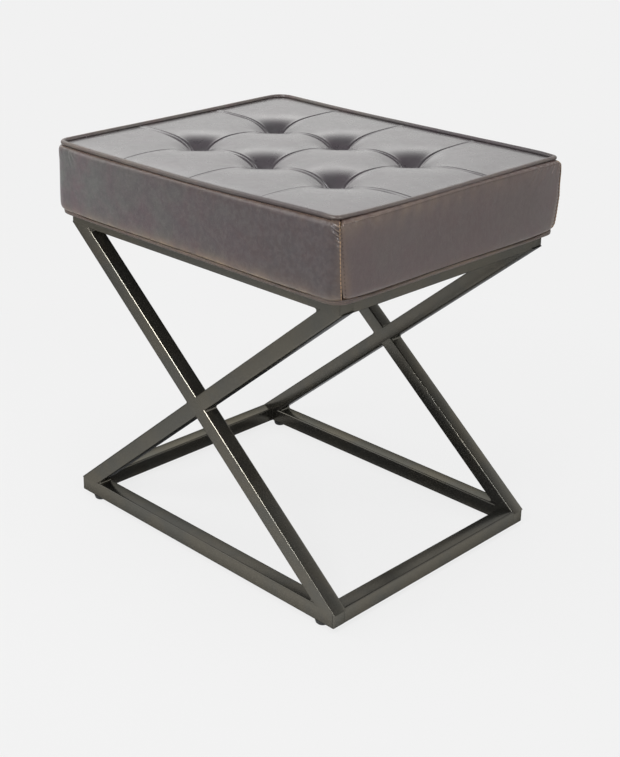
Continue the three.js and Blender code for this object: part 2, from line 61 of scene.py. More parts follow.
def makeCamera(settings):
    azimuth, elevation, roll = (math.radians(settings[key]) for key in ("azimuth", "elevation", "roll"))
    back = Vector((math.sin(azimuth) * math.cos(elevation),
                   -math.cos(azimuth) * math.cos(elevation),
                   math.sin(elevation)))
    right = Vector((math.cos(azimuth), math.sin(azimuth), 0))
    up = back.cross(right)
    aim = Vector((0, 0, settings["aimHeight"])) + right * settings["aimRight"] + up * settings["aimUp"]
    turned = (right * math.cos(roll) + up * math.sin(roll), up * math.cos(roll) - right * math.sin(roll), back)
    camera = bpy.data.objects.new("camera", bpy.data.cameras.new("camera"))
    bpy.context.scene.collection.objects.link(camera)
    rotation = Matrix((turned[0], turned[1], turned[2])).transposed().to_4x4()
    camera.matrix_world = Matrix.Translation(aim + back * settings["distance"]) @ rotation
    camera.data.lens = settings["lens"]
    camera.data.shift_y = settings["shiftY"]
    bpy.context.scene.camera = camera


makeCamera(cameraSettings)
print("Camera made")


# Tools for node trees

def addNode(tree, kind, values=None, **properties):
    node = tree.nodes.new(kind)
    for name, value in properties.items():
        setattr(node, name, value)
    for name, value in (values or {}).items():
        node.inputs[name].default_value = value
    return node


def startGroup(name, inputs, outputs):
    group = bpy.data.node_groups.new(name, "ShaderNodeTree")
    for label, kind, value in inputs:
        socket = group.interface.new_socket(label, in_out="INPUT", socket_type=kind)
        if value is not None:
            socket.default_value = value
    for label, kind in outputs:
        group.interface.new_socket(label, in_out="OUTPUT", socket_type=kind)
    return group, group.nodes.new("NodeGroupInput"), group.nodes.new("NodeGroupOutput")


def startMaterial(name, **shader):
    material = bpy.data.materials.new(name)
    material.use_nodes = True
    tree = material.node_tree
    principled = tree.nodes["Principled BSDF"]
    for label, value in shader.items():
        principled.inputs[label.replace("_", " ")].default_value = value
    return material, tree, principled


def useGroup(tree, group, **values):
    node = tree.nodes.new("ShaderNodeGroup")
    node.node_tree = group
    for label, value in values.items():
        node.inputs[label.replace("_", " ")].default_value = value
    return node


def fill(tree, socket, value):
    # value is another node's output, a colour or a number
    if hasattr(value, "links"):
        tree.links.new(value, socket)
    else:
        socket.default_value = (*value, 1) if isinstance(value, tuple) else value


def blend(tree, kind, factor, first, second):
    node = addNode(tree, "ShaderNodeMix", data_type=kind)
    for label, value in (("Factor", factor), ("A", first), ("B", second)):
        fill(tree, node.inputs[label], value)
    return node.outputs["Result"]


def mixColours(tree, factor, first, second):
    return blend(tree, "RGBA", factor, first, second)


def mixValues(tree, factor, first, second):
    return blend(tree, "FLOAT", factor, first, second)


def mapRange(tree, source, low, high, newLow, newHigh):
    node = addNode(tree, "ShaderNodeMapRange", {
        "From Min": low, "From Max": high, "To Min": newLow, "To Max": newHigh})
    fill(tree, node.inputs["Value"], source)
    return node.outputs["Result"]


def doMath(tree, operation, first, second=0.0, clamp=False):
    node = addNode(tree, "ShaderNodeMath", operation=operation, use_clamp=clamp)
    fill(tree, node.inputs[0], first)
    fill(tree, node.inputs[1], second)
    return node.outputs["Value"]


def multiply(tree, first, second):
    return doMath(tree, "MULTIPLY", first, second)


def noiseOn(tree, source, scale, detail, roughness, distortion=0.0):
    node = addNode(tree, "ShaderNodeTexNoise", {
        "Detail": detail, "Roughness": roughness, "Distortion": distortion})
    fill(tree, node.inputs["Vector"], source)
    fill(tree, node.inputs["Scale"], scale)
    return node.outputs["Fac"]


def objectPlace(tree):
    return addNode(tree, "ShaderNodeTexCoord").outputs["Object"]


def painted(tree, name):
    return addNode(tree, "ShaderNodeAttribute", attribute_name=name).outputs["Fac"]


def addBump(tree, principled, height, strength, distance):
    bump = addNode(tree, "ShaderNodeBump", {"Strength": strength, "Distance": distance})
    tree.links.new(height, bump.inputs["Height"])
    tree.links.new(bump.outputs["Normal"], principled.inputs["Normal"])


# Shared effects as shader groups

def makeLeatherGrain():
    group, start, end = startGroup(
        "leatherGrain",
        [("Vector", "NodeSocketVector", None), ("Cell", "NodeSocketFloat", 700.0), ("Crease", "NodeSocketFloat", 60.0)],
        [("Height", "NodeSocketFloat"), ("Creases", "NodeSocketFloat")])
    place, cell = start.outputs["Vector"], start.outputs["Cell"]
    cells = addNode(group, "ShaderNodeTexVoronoi", feature="DISTANCE_TO_EDGE")
    fill(group, cells.inputs["Vector"], place)
    fill(group, cells.inputs["Scale"], cell)
    pores = mapRange(group, cells.outputs["Distance"], 0.0, 0.18, 0.0, 1.0)
    fine = noiseOn(group, place, cell, 2.0, 0.6)
    folds = noiseOn(group, place, start.outputs["Crease"], 3.0, 0.5, 1.2)
    ridge = doMath(group, "ABSOLUTE", doMath(group, "SUBTRACT", folds, 0.5))
    creases = mapRange(group, ridge, 0.0, 0.035, 1.0, 0.0)
    grain = doMath(group, "ADD", multiply(group, pores, 0.35), fine)
    fill(group, end.inputs["Height"], doMath(group, "SUBTRACT", grain, multiply(group, creases, 0.5)))
    fill(group, end.inputs["Creases"], creases)
    return group


def makeCloudy():
    layers = {"Broad": (1.0, 0.41, 0.59), "Close": (2.8, 0.34, 0.66),
              "Fine": (14.0, 0.38, 0.62), "Streak": (9.0, 0.42, 0.62)}
    group, start, end = startGroup(
        "cloudyShade",
        [("Vector", "NodeSocketVector", None), ("Scale", "NodeSocketFloat", 12.0)],
        [(label, "NodeSocketFloat") for label in layers])
    for label, (times, low, high) in layers.items():
        scale = multiply(group, start.outputs["Scale"], times)
        noise = noiseOn(group, start.outputs["Vector"], scale, 3.0, 0.6, 0.4)
        fill(group, end.inputs[label], mapRange(group, noise, low, high, 0.0, 1.0))
    return group


def makeRubbedAndGlint():
    group, start, end = startGroup(
        "rubbedEdgeAndGlint",
        [("Vector", "NodeSocketVector", None), ("RubAndGlint", "NodeSocketFloat", 0.0), ("Scale", "NodeSocketFloat", 40.0)],
        [("Mask", "NodeSocketFloat")])
    noise = noiseOn(group, start.outputs["Vector"], start.outputs["Scale"], 4.0, 0.65)
    uneven = mapRange(group, noise, 0.3, 0.7, 0.45, 1.25)
    fill(group, end.inputs["Mask"], doMath(group, "MULTIPLY", start.outputs["RubAndGlint"], uneven, clamp=True))
    return group


leatherGrain = makeLeatherGrain()
cloudyShade = makeCloudy()
rubbedEdgeAndGlint = makeRubbedAndGlint()


# Leather

leatherSettings = {
    "dark": (0.046, 0.040, 0.045),
    # deep is where the tone leads, so it also colours the painted shade under the welt
    "deep": (0.047, 0.026, 0.027),
    "cool": (0.114, 0.121, 0.111),
    "purple": (0.120, 0.080, 0.091),
    "light": (0.170, 0.155, 0.146),
    "russet": (0.084, 0.049, 0.043),
    # rubbed leather, which also lays painted highlights on the folds by the near seam
    "rubbedAndGlint": (0.30, 0.208, 0.130),
    "shaded": (0.044, 0.039, 0.045),
    "grainCells": 900.0,
    "grainHeight": 0.0004,
    "creases": 55.0,
    "cloudScale": 17.0,
    "sheenRange": 0.05,
    "layers": (("Tone", 0.9, "deep"), ("Close", 0.5, "dark"), ("Streak", 0.17, "light"), ("Fine", 0.26, "dark")),
    "rubbedAndGlintShare": 0.8,
}


def makeLeather(name, roughness, coat, rubScale, grainStrength, tint=0.0, tintColour="dark"):
    material, tree, principled = startMaterial(
        name, Specular_IOR_Level=0.5, Coat_Weight=coat, Coat_Roughness=0.2, Coat_IOR=1.5)
    place = objectPlace(tree)
    clouds = useGroup(tree, cloudyShade, Scale=leatherSettings["cloudScale"])
    grain = useGroup(tree, leatherGrain, Cell=leatherSettings["grainCells"], Crease=leatherSettings["creases"])
    rubbedAndGlint = useGroup(tree, rubbedEdgeAndGlint, Scale=rubScale)
    for group in (clouds, grain, rubbedAndGlint):
        fill(tree, group.inputs["Vector"], place)
    fill(tree, rubbedAndGlint.inputs["RubAndGlint"], painted(tree, "rubAndGlint"))
    toneAndShade = painted(tree, "toneAndShade")
    base = mixColours(tree, clouds.outputs["Broad"], leatherSettings["purple"], leatherSettings["cool"])
    for label, share, colour in leatherSettings["layers"]:
        mask = toneAndShade if label == "Tone" else clouds.outputs[label]
        base = mixColours(tree, multiply(tree, mask, share), base, leatherSettings[colour])
    base = mixColours(tree, tint, base, leatherSettings[tintColour])
    # the rub mask also carries painted highlights on the folds by the near seam, and the tone mask painted shade under
    # the welt
    worn = multiply(tree, rubbedAndGlint.outputs["Mask"], leatherSettings["rubbedAndGlintShare"])
    fill(tree, principled.inputs["Base Color"], mixColours(tree, worn, base, leatherSettings["rubbedAndGlint"]))
    dull, bright = roughness + leatherSettings["sheenRange"], roughness - leatherSettings["sheenRange"]
    fill(tree, principled.inputs["Roughness"], mapRange(tree, clouds.outputs["Close"], 0.0, 1.0, dull, bright))
    addBump(tree, principled, grain.outputs["Height"], grainStrength, leatherSettings["grainHeight"])
    return material


topLeather = makeLeather("topLeather", roughness=0.3, coat=0.85, rubScale=40.0, grainStrength=0.06, tint=0.85,
                         tintColour="shaded")
sideLeather = makeLeather("sideLeather", roughness=0.38, coat=0.4, rubScale=35.0, grainStrength=0.4)
endLeather = makeLeather("endLeather", roughness=0.38, coat=0.4, rubScale=35.0, grainStrength=0.4, tint=0.5,
                         tintColour="russet")
edgeLeather = makeLeather("edgeLeather", roughness=0.38, coat=0.15, rubScale=60.0, grainStrength=0.35, tint=0.6)
hemLeather = makeLeather("hemLeather", roughness=0.5, coat=0.05, rubScale=60.0, grainStrength=0.35, tint=0.5)


# Lacquered steel, zinc, plastic, thread, cloth, foam and plywood

lacquerSettings = {
    "grey": (0.126, 0.123, 0.110),
    "brown": (0.144, 0.134, 0.112),
    "speck": (0.085, 0.081, 0.07),
    "speckScale": 900.0,
    "speckShare": 0.3,
    # the inner colour is painted shade, for faces inside the frame and the tops of two bottom tubes under the seat
    "inner": (0.03, 0.031, 0.033),
    "paintedShadeShare": 0.45,
    "cloudScale": 14.0,
    "roughness": (0.21, 0.26),
}


def makeLacquer():
    material, tree, principled = startMaterial(
        "frameLacquer", Metallic=0.85, Specular_IOR_Level=0.3, Specular_Tint=(0.12, 0.13, 0.14, 1))
    place = objectPlace(tree)
    clouds = useGroup(tree, cloudyShade, Scale=lacquerSettings["cloudScale"])
    fill(tree, clouds.inputs["Vector"], place)
    specks = noiseOn(tree, place, lacquerSettings["speckScale"], 2.0, 0.5)
    specks = mapRange(tree, specks, 0.35, 0.65, 0.0, lacquerSettings["speckShare"])
    # painted shade: the inner attribute darkens the faces inside the frame and the tops of two bottom tubes
    inner = multiply(tree, painted(tree, "inner"), lacquerSettings["paintedShadeShare"])
    colour = mixColours(tree, clouds.outputs["Broad"], lacquerSettings["grey"], lacquerSettings["brown"])
    colour = mixColours(tree, specks, colour, lacquerSettings["speck"])
    fill(tree, principled.inputs["Base Color"], mixColours(tree, inner, colour, lacquerSettings["inner"]))
    sheen = mapRange(tree, clouds.outputs["Close"], 0.0, 1.0, *lacquerSettings["roughness"])
    fill(tree, principled.inputs["Roughness"], sheen)
    return material


def makeSpeckled(name, first, second, scale, roughness, strength, distance, **shader):
    material, tree, principled = startMaterial(name, **shader)
    speckle = noiseOn(tree, objectPlace(tree), scale, 4.0, 0.6)
    mask = mapRange(tree, speckle, 0.35, 0.65, 0.0, 1.0)
    fill(tree, principled.inputs["Base Color"], mixColours(tree, mask, first, second))
    fill(tree, principled.inputs["Roughness"], mapRange(tree, mask, 0.0, 1.0, roughness - 0.06, roughness + 0.06))
    addBump(tree, principled, speckle, strength, distance)
    return material


def makeThread(name, first, second):
    return makeSpeckled(name, first, second, scale=1500.0, roughness=0.6, strength=0.6, distance=0.0002)


def makePlywood():
    material, tree, principled = startMaterial("plywood", Specular_IOR_Level=0.3)
    stretched = addNode(tree, "ShaderNodeMapping", {"Scale": (6.0, 90.0, 700.0)})
    fill(tree, stretched.inputs["Vector"], objectPlace(tree))
    grain = noiseOn(tree, stretched.outputs["Vector"], 1.0, 5.0, 0.6, 0.6)
    mask = mapRange(tree, grain, 0.3, 0.7, 0.0, 1.0)
    fill(tree, principled.inputs["Base Color"], mixColours(tree, mask, (0.55, 0.38, 0.22), (0.36, 0.22, 0.11)))
    fill(tree, principled.inputs["Roughness"], mapRange(tree, mask, 0.0, 1.0, 0.6, 0.75))
    addBump(tree, principled, grain, 0.3, 0.0003)
    return material


frameLacquer = makeLacquer()
plywood = makePlywood()
zincSteel = makeSpeckled("zincSteel", (0.55, 0.55, 0.53), (0.4, 0.41, 0.42), scale=260.0, roughness=0.36,
                         strength=0.15, distance=0.0001, Metallic=1.0)
blackPlastic = makeSpeckled("blackPlastic", (0.02, 0.02, 0.02), (0.035, 0.035, 0.034), scale=1400.0, roughness=0.5,
                            strength=0.3, distance=0.0001)
tuftTwine = makeSpeckled("tuftTwine", (0.5, 0.4, 0.26), (0.66, 0.56, 0.4), scale=1200.0, roughness=0.8,
                         strength=0.6, distance=0.0003)
blackCloth = makeSpeckled("blackCloth", (0.012, 0.012, 0.013), (0.03, 0.03, 0.031), scale=1100.0, roughness=0.9,
                          strength=0.7, distance=0.0003)
cutFoam = makeSpeckled("cutFoam", (0.72, 0.63, 0.4), (0.85, 0.78, 0.55), scale=500.0, roughness=0.9,
                       strength=0.8, distance=0.0006)
tanThread = makeThread("tanThread", (0.30, 0.18, 0.10), (0.44, 0.30, 0.19))
dullThread = makeThread("dullThread", (0.20, 0.13, 0.10), (0.30, 0.205, 0.165))
hemThread = makeThread("hemThread", (0.15, 0.10, 0.07), (0.22, 0.16, 0.12))
# dark thread, also used for short dark beads whose colour is the painted shade of needle holes beside the short sides'
# seams
darkThreadAndHoleShade = makeThread("darkThreadAndHoleShade", (0.03, 0.018, 0.014), (0.07, 0.038, 0.025))
print("Materials made")


# Tools for meshes

def newPiece(name, points, faces, material, sharpAngle=None):
    mesh = bpy.data.meshes.new(name)
    mesh.from_pydata([tuple(point) for point in points], [], faces)
    mesh.validate()
    for polygon in mesh.polygons:
        polygon.use_smooth = True
    if sharpAngle:
        mesh.set_sharp_from_angle(angle=math.radians(sharpAngle))
    mesh.materials.append(material)
    piece = bpy.data.objects.new(name, mesh)
    bpy.context.scene.collection.objects.link(piece)
    return piece


def paint(piece, name, values):
    attribute = piece.data.attributes.new(name, "FLOAT", "POINT")
    attribute.data.foreach_set("value", np.asarray(values, np.float32))


def keep(piece, slotName, *nodes):
    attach(piece, "root")
    if nodes:
        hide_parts(*nodes)


def gridFaces(rows, columns, start=0, closeRows=False, closeColumns=False, flip=False):
    faces = []
    for i in range(rows if closeRows else rows - 1):
        for j in range(columns if closeColumns else columns - 1):
            nextRow, nextColumn = (i + 1) % rows, (j + 1) % columns
            face = (i * columns + j, i * columns + nextColumn, nextRow * columns + nextColumn, nextRow * columns + j)
            face = tuple(start + index for index in face)
            faces.append(face[::-1] if flip else face)
    return faces


def loftFaces(rows, columns, start=0, flip=False):
    # one closed ring a row, with a face over each end
    faces = gridFaces(rows, columns, start, closeColumns=True, flip=flip)
    first = tuple(range(start, start + columns))
    last = tuple(range(start + (rows - 1) * columns, start + rows * columns))
    return faces + [first if flip else first[::-1], last[::-1] if flip else last]


def gridNormals(points):
    across = np.gradient(points, axis=1)
    along = np.gradient(points, axis=0)
    normals = np.cross(across, along)
    return normals / np.maximum(np.linalg.norm(normals, axis=-1, keepdims=True), 1e-12)


def rise(value, low, high):
    share = np.clip((value - low) / (high - low), 0, 1)
    return share * share * (3 - 2 * share)


def softWaves(u, v, size, seed, count=7):
    rng = np.random.default_rng(seed)
    total = np.zeros(np.broadcast(u, v).shape)
    for heading, stretch, phase in zip(rng.uniform(0, np.pi, count), rng.uniform(0.7, 1.6, count),
                                       rng.uniform(0, 2 * np.pi, count)):
        total = total + np.sin(2 * np.pi * stretch * (u * np.cos(heading) + v * np.sin(heading)) / size + phase)
    return total / count


# Seat: sizes that its leather pieces share, in metres

hemLow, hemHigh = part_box("bottom_hem")
weltHigh, panelHigh, boardHigh = (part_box(node)[1] for node in ("top_welt", "top_panel", "seat_board"))

seat = {
    "leather": 0.0016,
    "gap": 0.0003,
    "weltRadius": 0.003,
    "weltCorner": 0.011,
    "topCorners": (0.0, -0.003, 0.014, 0.007),  # added to weltCorner at the near, right, far and left corner
    "hemThickness": 0.003,
    "hemCorner": 0.016,
    "hemCorners": (0.008, 0.008, 0.008, 0.014),  # added to hemCorner in the same way
    "cornerLift": 0.001,
    "farSag": 0.0016,
    "leanX": -0.0012,
    "leanY": 0.0022,
    "nearRise": 0.0036,
    "frontSag": 0.002,
    "rightRise": 0.0004,
    "rightSag": 0.0018,
    "leftRise": 0.002,
    "backRise": 0.0007,
    "drawIn": 0.0012,
    "panelSink": 0.001,
    "seamAngles": (27.5, 13.0),  # at the hem and at the welt, in degrees round the corner
    "cornerPower": 2.5,  # 2 is a circle, and more is squarer
    "cornerTurn": 0.05,  # the share of a side that each rounded corner takes
}
seat["weltHeight"] = weltHigh.z - seat["cornerLift"] - seat["weltRadius"]
seat["boxingBottom"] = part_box("boxing_front")[0].z
seat["boxingTop"] = seat["weltHeight"] - seat["weltRadius"] - seat["gap"]
seat["panelX"] = panelHigh.x
seat["panelY"] = panelHigh.y


def sideOutline(side, turn, halfX, halfY, radius, drawIn, upShare=1.0):
    # turn runs from 0 to 1 between two seams, which lie just round the corners on the short sides,
    # further round at the bottom than at the top; side 0 faces +X, 1 faces +Y
    seam = np.radians(seat["seamAngles"][0] + (seat["seamAngles"][1] - seat["seamAngles"][0]) * upShare ** 2.5)
    reach, run, sweepAngle = (halfX, halfY, seam) if side % 2 == 0 else (halfY, halfX, np.pi / 2 - seam)
    corner = seat["cornerTurn"] * (0.5 if side % 2 == 0 else 1.5)
    bend = 2 / seat["cornerPower"]
    # each corner has a radius of its own, and the first of them, between sides 3 and 0, is nearest the camera
    first, last = (radius + seat["hemCorners"][index % 4] * (1 - upShare) + seat["topCorners"][index % 4] * upShare
                   for index in (side, side + 1))
    radius = np.where(turn < 0.5, first, last)
    share = np.clip((turn - corner) / (1 - 2 * corner), 0, 1)
    angle = sweepAngle * np.clip(1 - np.minimum(turn, 1 - turn) / corner, 0, 1)
    end = np.where(turn < 0.5, -1.0, 1.0)
    out = reach - radius * (1 - np.cos(angle) ** bend) - drawIn * np.sin(np.pi * share) ** 2
    along = first - run + share * (2 * run - first - last) + end * radius * np.sin(angle) ** bend
    spin = side * np.pi / 2
    return out * np.cos(spin) - along * np.sin(spin), out * np.sin(spin) + along * np.cos(spin)


def seatLift(x, y):
    # the seat leans up a little towards its back left corner, its edges sag here and rise there
    shareX, shareY = np.clip(x / seat["panelX"], -1, 1), np.clip(y / seat["panelY"], -1, 1)
    right, left, back, front = (np.clip(share, 0, 1) for share in (shareX, -shareX, shareY, -shareY))
    toRight = rise(shareX, -0.1, 1.0)
    lift = seat["cornerLift"] * shareX ** 4 * shareY ** 4 + seat["leanX"] * shareX + seat["leanY"] * shareY
    lift = lift + seat["nearRise"] * toRight * front ** 2 - seat["frontSag"] * (1 - toRight) * front ** 4
    lift = lift + seat["rightRise"] * right ** 4 - seat["rightSag"] * right ** 6 * back ** 6
    lift = lift - seat["farSag"] * left ** 10 * back ** 10
    return lift + seat["leftRise"] * left ** 4 * rise(shareY, -0.9, 0.9) + seat["backRise"] * back ** 4


# Tufted top

top = {
    "tuftsX": (-0.1155, 0.0, 0.1155),
    "tuftsY": (-0.065, 0.065),
    # lines of the mesh, in millimetres from a pleat and from an edge
    "steps": (0, 0.3, 0.65, 1.05, 1.5, 2.0, 2.6, 3.2, 3.8, 4.3, 4.7, 5.1, 5.5, 5.9, 6.3, 6.7, 7.1, 7.5, 8, 9, 10.5,
              12.5, 15, 18, 21.5, 25.5, 30, 35, 40.5, 46, 52),
    "edgeSteps": (0, 1.5, 3.5, 6, 9, 13, 18, 24, 31),
    "crown": 0.0017,
    "crownRun": 0.014,
    "pillow": 0.0009,
    "tuftDepth": 0.0257,
    "tuftFlat": 0.0042,
    "tuftSpread": 0.0185,
    "tuftStar": 0.1,
    "tuftLean": 0.1,
    "leanHeading": -0.8,
    "pleatMiddle": 0.0008,
    "pleatTuft": 0.0026,
    "pleatFade": 0.014,
    "pleatRun": 0.0007,
    "pleatWide": 0.003,
    "pleatNarrows": 0.011,
    "pleatFront": 0.015,
    "pleatUneven": 0.35,
    "lip": 0.0004,
    "lipRun": 0.0011,
    "lipAway": 0.0017,
    "ridge": 0.0006,
    "lipFrom": (0.004, 0.014),
    "foldRun": 0.0010,
    "foldFrom": (0.006, 0.018),
    "fullFold": 0.0013,
    "wander": 0.0012,
    "wanderRun": 0.02,
    "pillowRun": 0.02,
    "calmEdge": 0.012,
    "ripple": 0.00007,
    "rippleSize": 0.03,
    "fan": 0.00009,
    "fanLines": 23.0,
    "fanHeading": 0.8,
    "fanFrom": (0.012, 0.03),
    "fanTo": (0.05, 0.1),
}
# each fold is its place beside its pleat and its depth
pleatsAlongY = {
    "seed": 11,
    "lipSide": -1,
    "folds": ((0.0044, 0.0002), (0.0040, 0.0004), (0.0045, 0.0003)),
    "front": 0.4,
}
pleatsAlongX = {
    "seed": 23,
    "lipSide": 1,
    "folds": ((-0.0068, 0.0010), (-0.0054, 0.0009)),
    "front": 1.0,
}


def gridStops(edge, tufts):
    # lines lie close together at the pleats and at the edges
    steps = np.array(top["steps"]) / 1000
    edgeSteps = np.array(top["edgeSteps"]) / 1000
    stops = [-edge, *tufts, edge]
    lines = []
    for index, (low, high) in enumerate(zip(stops, stops[1:])):
        middle = (low + high) / 2
        lowSteps = edgeSteps if index == 0 else steps
        highSteps = edgeSteps if index == len(tufts) else steps
        lines.append((low + lowSteps)[low + lowSteps < middle - 0.001])
        if 0 < index < len(tufts):
            lines.append([middle])
        else:
            inner = (low + lowSteps[-1], high - highSteps[-1])
            lines.append(np.arange(inner[0] + 0.006, inner[1] - 0.003, 0.006))
        lines.append((high - highSteps)[high - highSteps > middle + 0.001][::-1][:-1])
    return np.concatenate([*lines, [edge]])


def nearest(values, places):
    offsets = np.stack([values - place for place in places])
    pick = np.abs(offsets).argmin(axis=0)
    return np.take_along_axis(offsets, pick[None], axis=0)[0], pick


def pleatLine(across, along, places, ends, settings):
    # across is measured from the nearest pleat, along to the nearest tuft on it; each pleat is a folded
    # strip with a sharp crease on one side and a weaker one on the other
    offset, index = nearest(across, places)
    away = np.abs(offset)
    run = np.abs(nearest(along, ends)[0])
    seed = settings["seed"]
    wander = top["wander"] * softWaves(along, index * 0.37, 0.09, seed, 4) * (1 - np.exp(-run / top["wanderRun"]))
    depth = top["pleatMiddle"] * (1 + top["pleatUneven"] * softWaves(along, index * 0.61, 0.06, seed + 5, 4))
    depth = depth * (1 + (settings["front"] - 1) * rise(-along, -ends[0], top["pleatFront"] - ends[0]))
    depth = depth + (top["pleatTuft"] - top["pleatMiddle"]) * np.exp(-run / top["pleatFade"])
    crease = depth * np.exp(-away / (top["pleatRun"] + top["pleatWide"] * np.exp(-run / top["pleatNarrows"])))
    folds = np.array(settings["folds"])
    place, strength = np.take(folds[:, 0], index), np.take(folds[:, 1], index)
    strength = strength * rise(run, *top["foldFrom"]) * (1 + 0.5 * softWaves(along, index * 0.83, 0.05, seed + 9, 4))
    second = strength * np.exp(-np.abs(offset - place) / top["foldRun"])
    ridge = top["ridge"] * strength / top["fullFold"] * np.exp(-((offset - place / 2) / (place / 4)) ** 2)
    lip = top["lip"] * np.exp(-((offset * settings["lipSide"] - top["lipAway"]) / top["lipRun"]) ** 2)
    return crease + second - ridge - lip * rise(run, *top["lipFrom"]), wander * np.exp(-away / top["wanderRun"])


def tuftDrop(x, y, tuftX, tuftY):
    awayX, awayY = x - tuftX, y - tuftY
    radius = np.hypot(awayX, awayY)
    heading = np.arctan2(awayY, awayX)
    star = 1 + top["tuftStar"] * np.sin(2 * heading) ** 2 - top["tuftLean"] * np.cos(heading - top["leanHeading"])
    away = np.maximum(0, radius * star - top["tuftFlat"])
    drop = (top["tuftDepth"] - top["pleatTuft"] / 2) * np.exp(-away / top["tuftSpread"])
    # faint wrinkles fan out from the tuft, most of all to the right
    fan = np.sin(top["fanLines"] * heading + 3 * softWaves(awayX, awayY, 0.08, 17))
    window = np.clip(np.cos(heading - top["fanHeading"]), 0, 1) ** 2
    window = window * rise(radius, *top["fanFrom"]) * (1 - rise(radius, *top["fanTo"]))
    return drop - top["fan"] * (1.0 if tuftX > 0.1 else 0.5) * fan * window


def topPoints():
    lineX = gridStops(seat["panelX"], top["tuftsX"])
    lineY = gridStops(seat["panelY"], top["tuftsY"])
    x, y = np.meshgrid(lineX, lineY, indexing="ij")
    inX, inY = seat["panelX"] - np.abs(x), seat["panelY"] - np.abs(y)
    crown = (1 - np.exp(-inX / top["crownRun"])) * (1 - np.exp(-inY / top["crownRun"]))
    calm = np.clip(np.minimum(inX, inY) / top["calmEdge"], 0, 1)
    acrossX, pushX = pleatLine(x, y, top["tuftsX"], top["tuftsY"], pleatsAlongY)
    acrossY, pushY = pleatLine(y, x, top["tuftsY"], top["tuftsX"], pleatsAlongX)
    pleats = np.where(np.abs(acrossX) > np.abs(acrossY), acrossX, acrossY)
    pillow = 1.0
    for value, tufts, edge in ((x, top["tuftsX"], seat["panelX"]), (y, top["tuftsY"], seat["panelY"])):
        offset, _ = nearest(value, (*tufts, -edge, edge))
        pillow = pillow * (1 - np.exp(-np.abs(offset) / top["pillowRun"]))
    height = seat["weltHeight"] - seat["panelSink"] + seatLift(x, y)
    height = height + (top["crown"] + top["pillow"] * pillow) * crown - pleats * (0.5 + 0.5 * crown)
    height = height - sum(tuftDrop(x, y, tuftX, tuftY) for tuftX in top["tuftsX"] for tuftY in top["tuftsY"])
    height = height + top["ripple"] * calm * softWaves(x, y, top["rippleSize"], 5, 9)
    return np.stack([x + pushX * calm, y + pushY * calm, height], axis=-1)


def drawEdges(points, cornerCut):
    # the edge is drawn in between its corners, and cut at them, as the welt is
    shareX = points[..., 0] / seat["panelX"]
    shareY = points[..., 1] / seat["panelY"]
    more = np.array(seat["topCorners"])[[[3, 2], [0, 1]]]
    cornerCut = cornerCut + more[(shareX > 0).astype(int), (shareY > 0).astype(int)]
    pullX = seat["drawIn"] * np.abs(shareX) ** 3 * np.cos(np.pi / 2 * np.clip(shareY, -1, 1)) ** 2
    pullY = seat["drawIn"] * np.abs(shareY) ** 3 * np.cos(np.pi / 2 * np.clip(shareX, -1, 1)) ** 2
    nearX = np.clip((np.abs(points[..., 0]) - seat["panelX"] + cornerCut) / cornerCut, 0, 1)
    nearY = np.clip((np.abs(points[..., 1]) - seat["panelY"] + cornerCut) / cornerCut, 0, 1)
    length = np.maximum(np.hypot(nearX, nearY), 1e-9)
    squeeze = np.maximum(nearX, nearY) / length
    moved = points.copy()
    moved[..., 0] -= np.sign(shareX) * (pullX + cornerCut * nearX * (1 - squeeze))
    moved[..., 1] -= np.sign(shareY) * (pullY + cornerCut * nearY * (1 - squeeze))
    return moved


def closedSlab(upper, lower):
    rows, columns = upper.shape[:2]
    count = rows * columns
    faces = gridFaces(rows, columns, 0, flip=True) + gridFaces(rows, columns, count)
    rim = [(i, 0) for i in range(rows - 1)] + [(rows - 1, j) for j in range(columns - 1)]
    rim += [(i, columns - 1) for i in range(rows - 1, 0, -1)] + [(0, j) for j in range(columns - 1, 0, -1)]
    ring = [i * columns + j for i, j in rim]
    for here, there in zip(ring, ring[1:] + ring[:1]):
        faces.append((here + count, there + count, there, here))
    return np.concatenate([upper.reshape(-1, 3), lower.reshape(-1, 3)]), faces


def makeTop():
    upper = drawEdges(topPoints(), seat["weltCorner"] - 2 * seat["weltRadius"])
    lower = upper - np.array([0, 0, seat["leather"]])
    points, faces = closedSlab(upper, lower)
    piece = newPiece("tuftedTop", points, faces, topLeather)
    inward = np.minimum(seat["panelX"] - np.abs(points[:, 0]), seat["panelY"] - np.abs(points[:, 1]))
    paint(piece, "rubAndGlint", 0.12 * np.exp(-np.clip(inward, 0, None) / 0.003))
    keep(piece, "seat_leather", "top_panel")
    return upper


topSkin = makeTop()
print("Tufted top made")


def makeFoam(skin):
    foam = skin - np.array([0, 0, seat["leather"] + seat["gap"]])
    floor = foam.copy()
    floor[..., 2] = boardHigh.z + seat["gap"]
    points, faces = closedSlab(foam, floor)
    piece = newPiece("foamBlock", points, faces, cutFoam, 40)
    keep(piece, "seat_foam", "seat_foam")


makeFoam(topSkin)
print("Foam made")


# Tuft ties: a tab under each tuft, twine through foam and board, and a washer

tie = {
    "sides": 16,
    "twine": 0.0012,
    "tab": 0.0055,
    "tabThick": 0.0012,
    "washer": 0.005,
    "washerThick": 0.0015,
    "bevel": 0.0003,
}


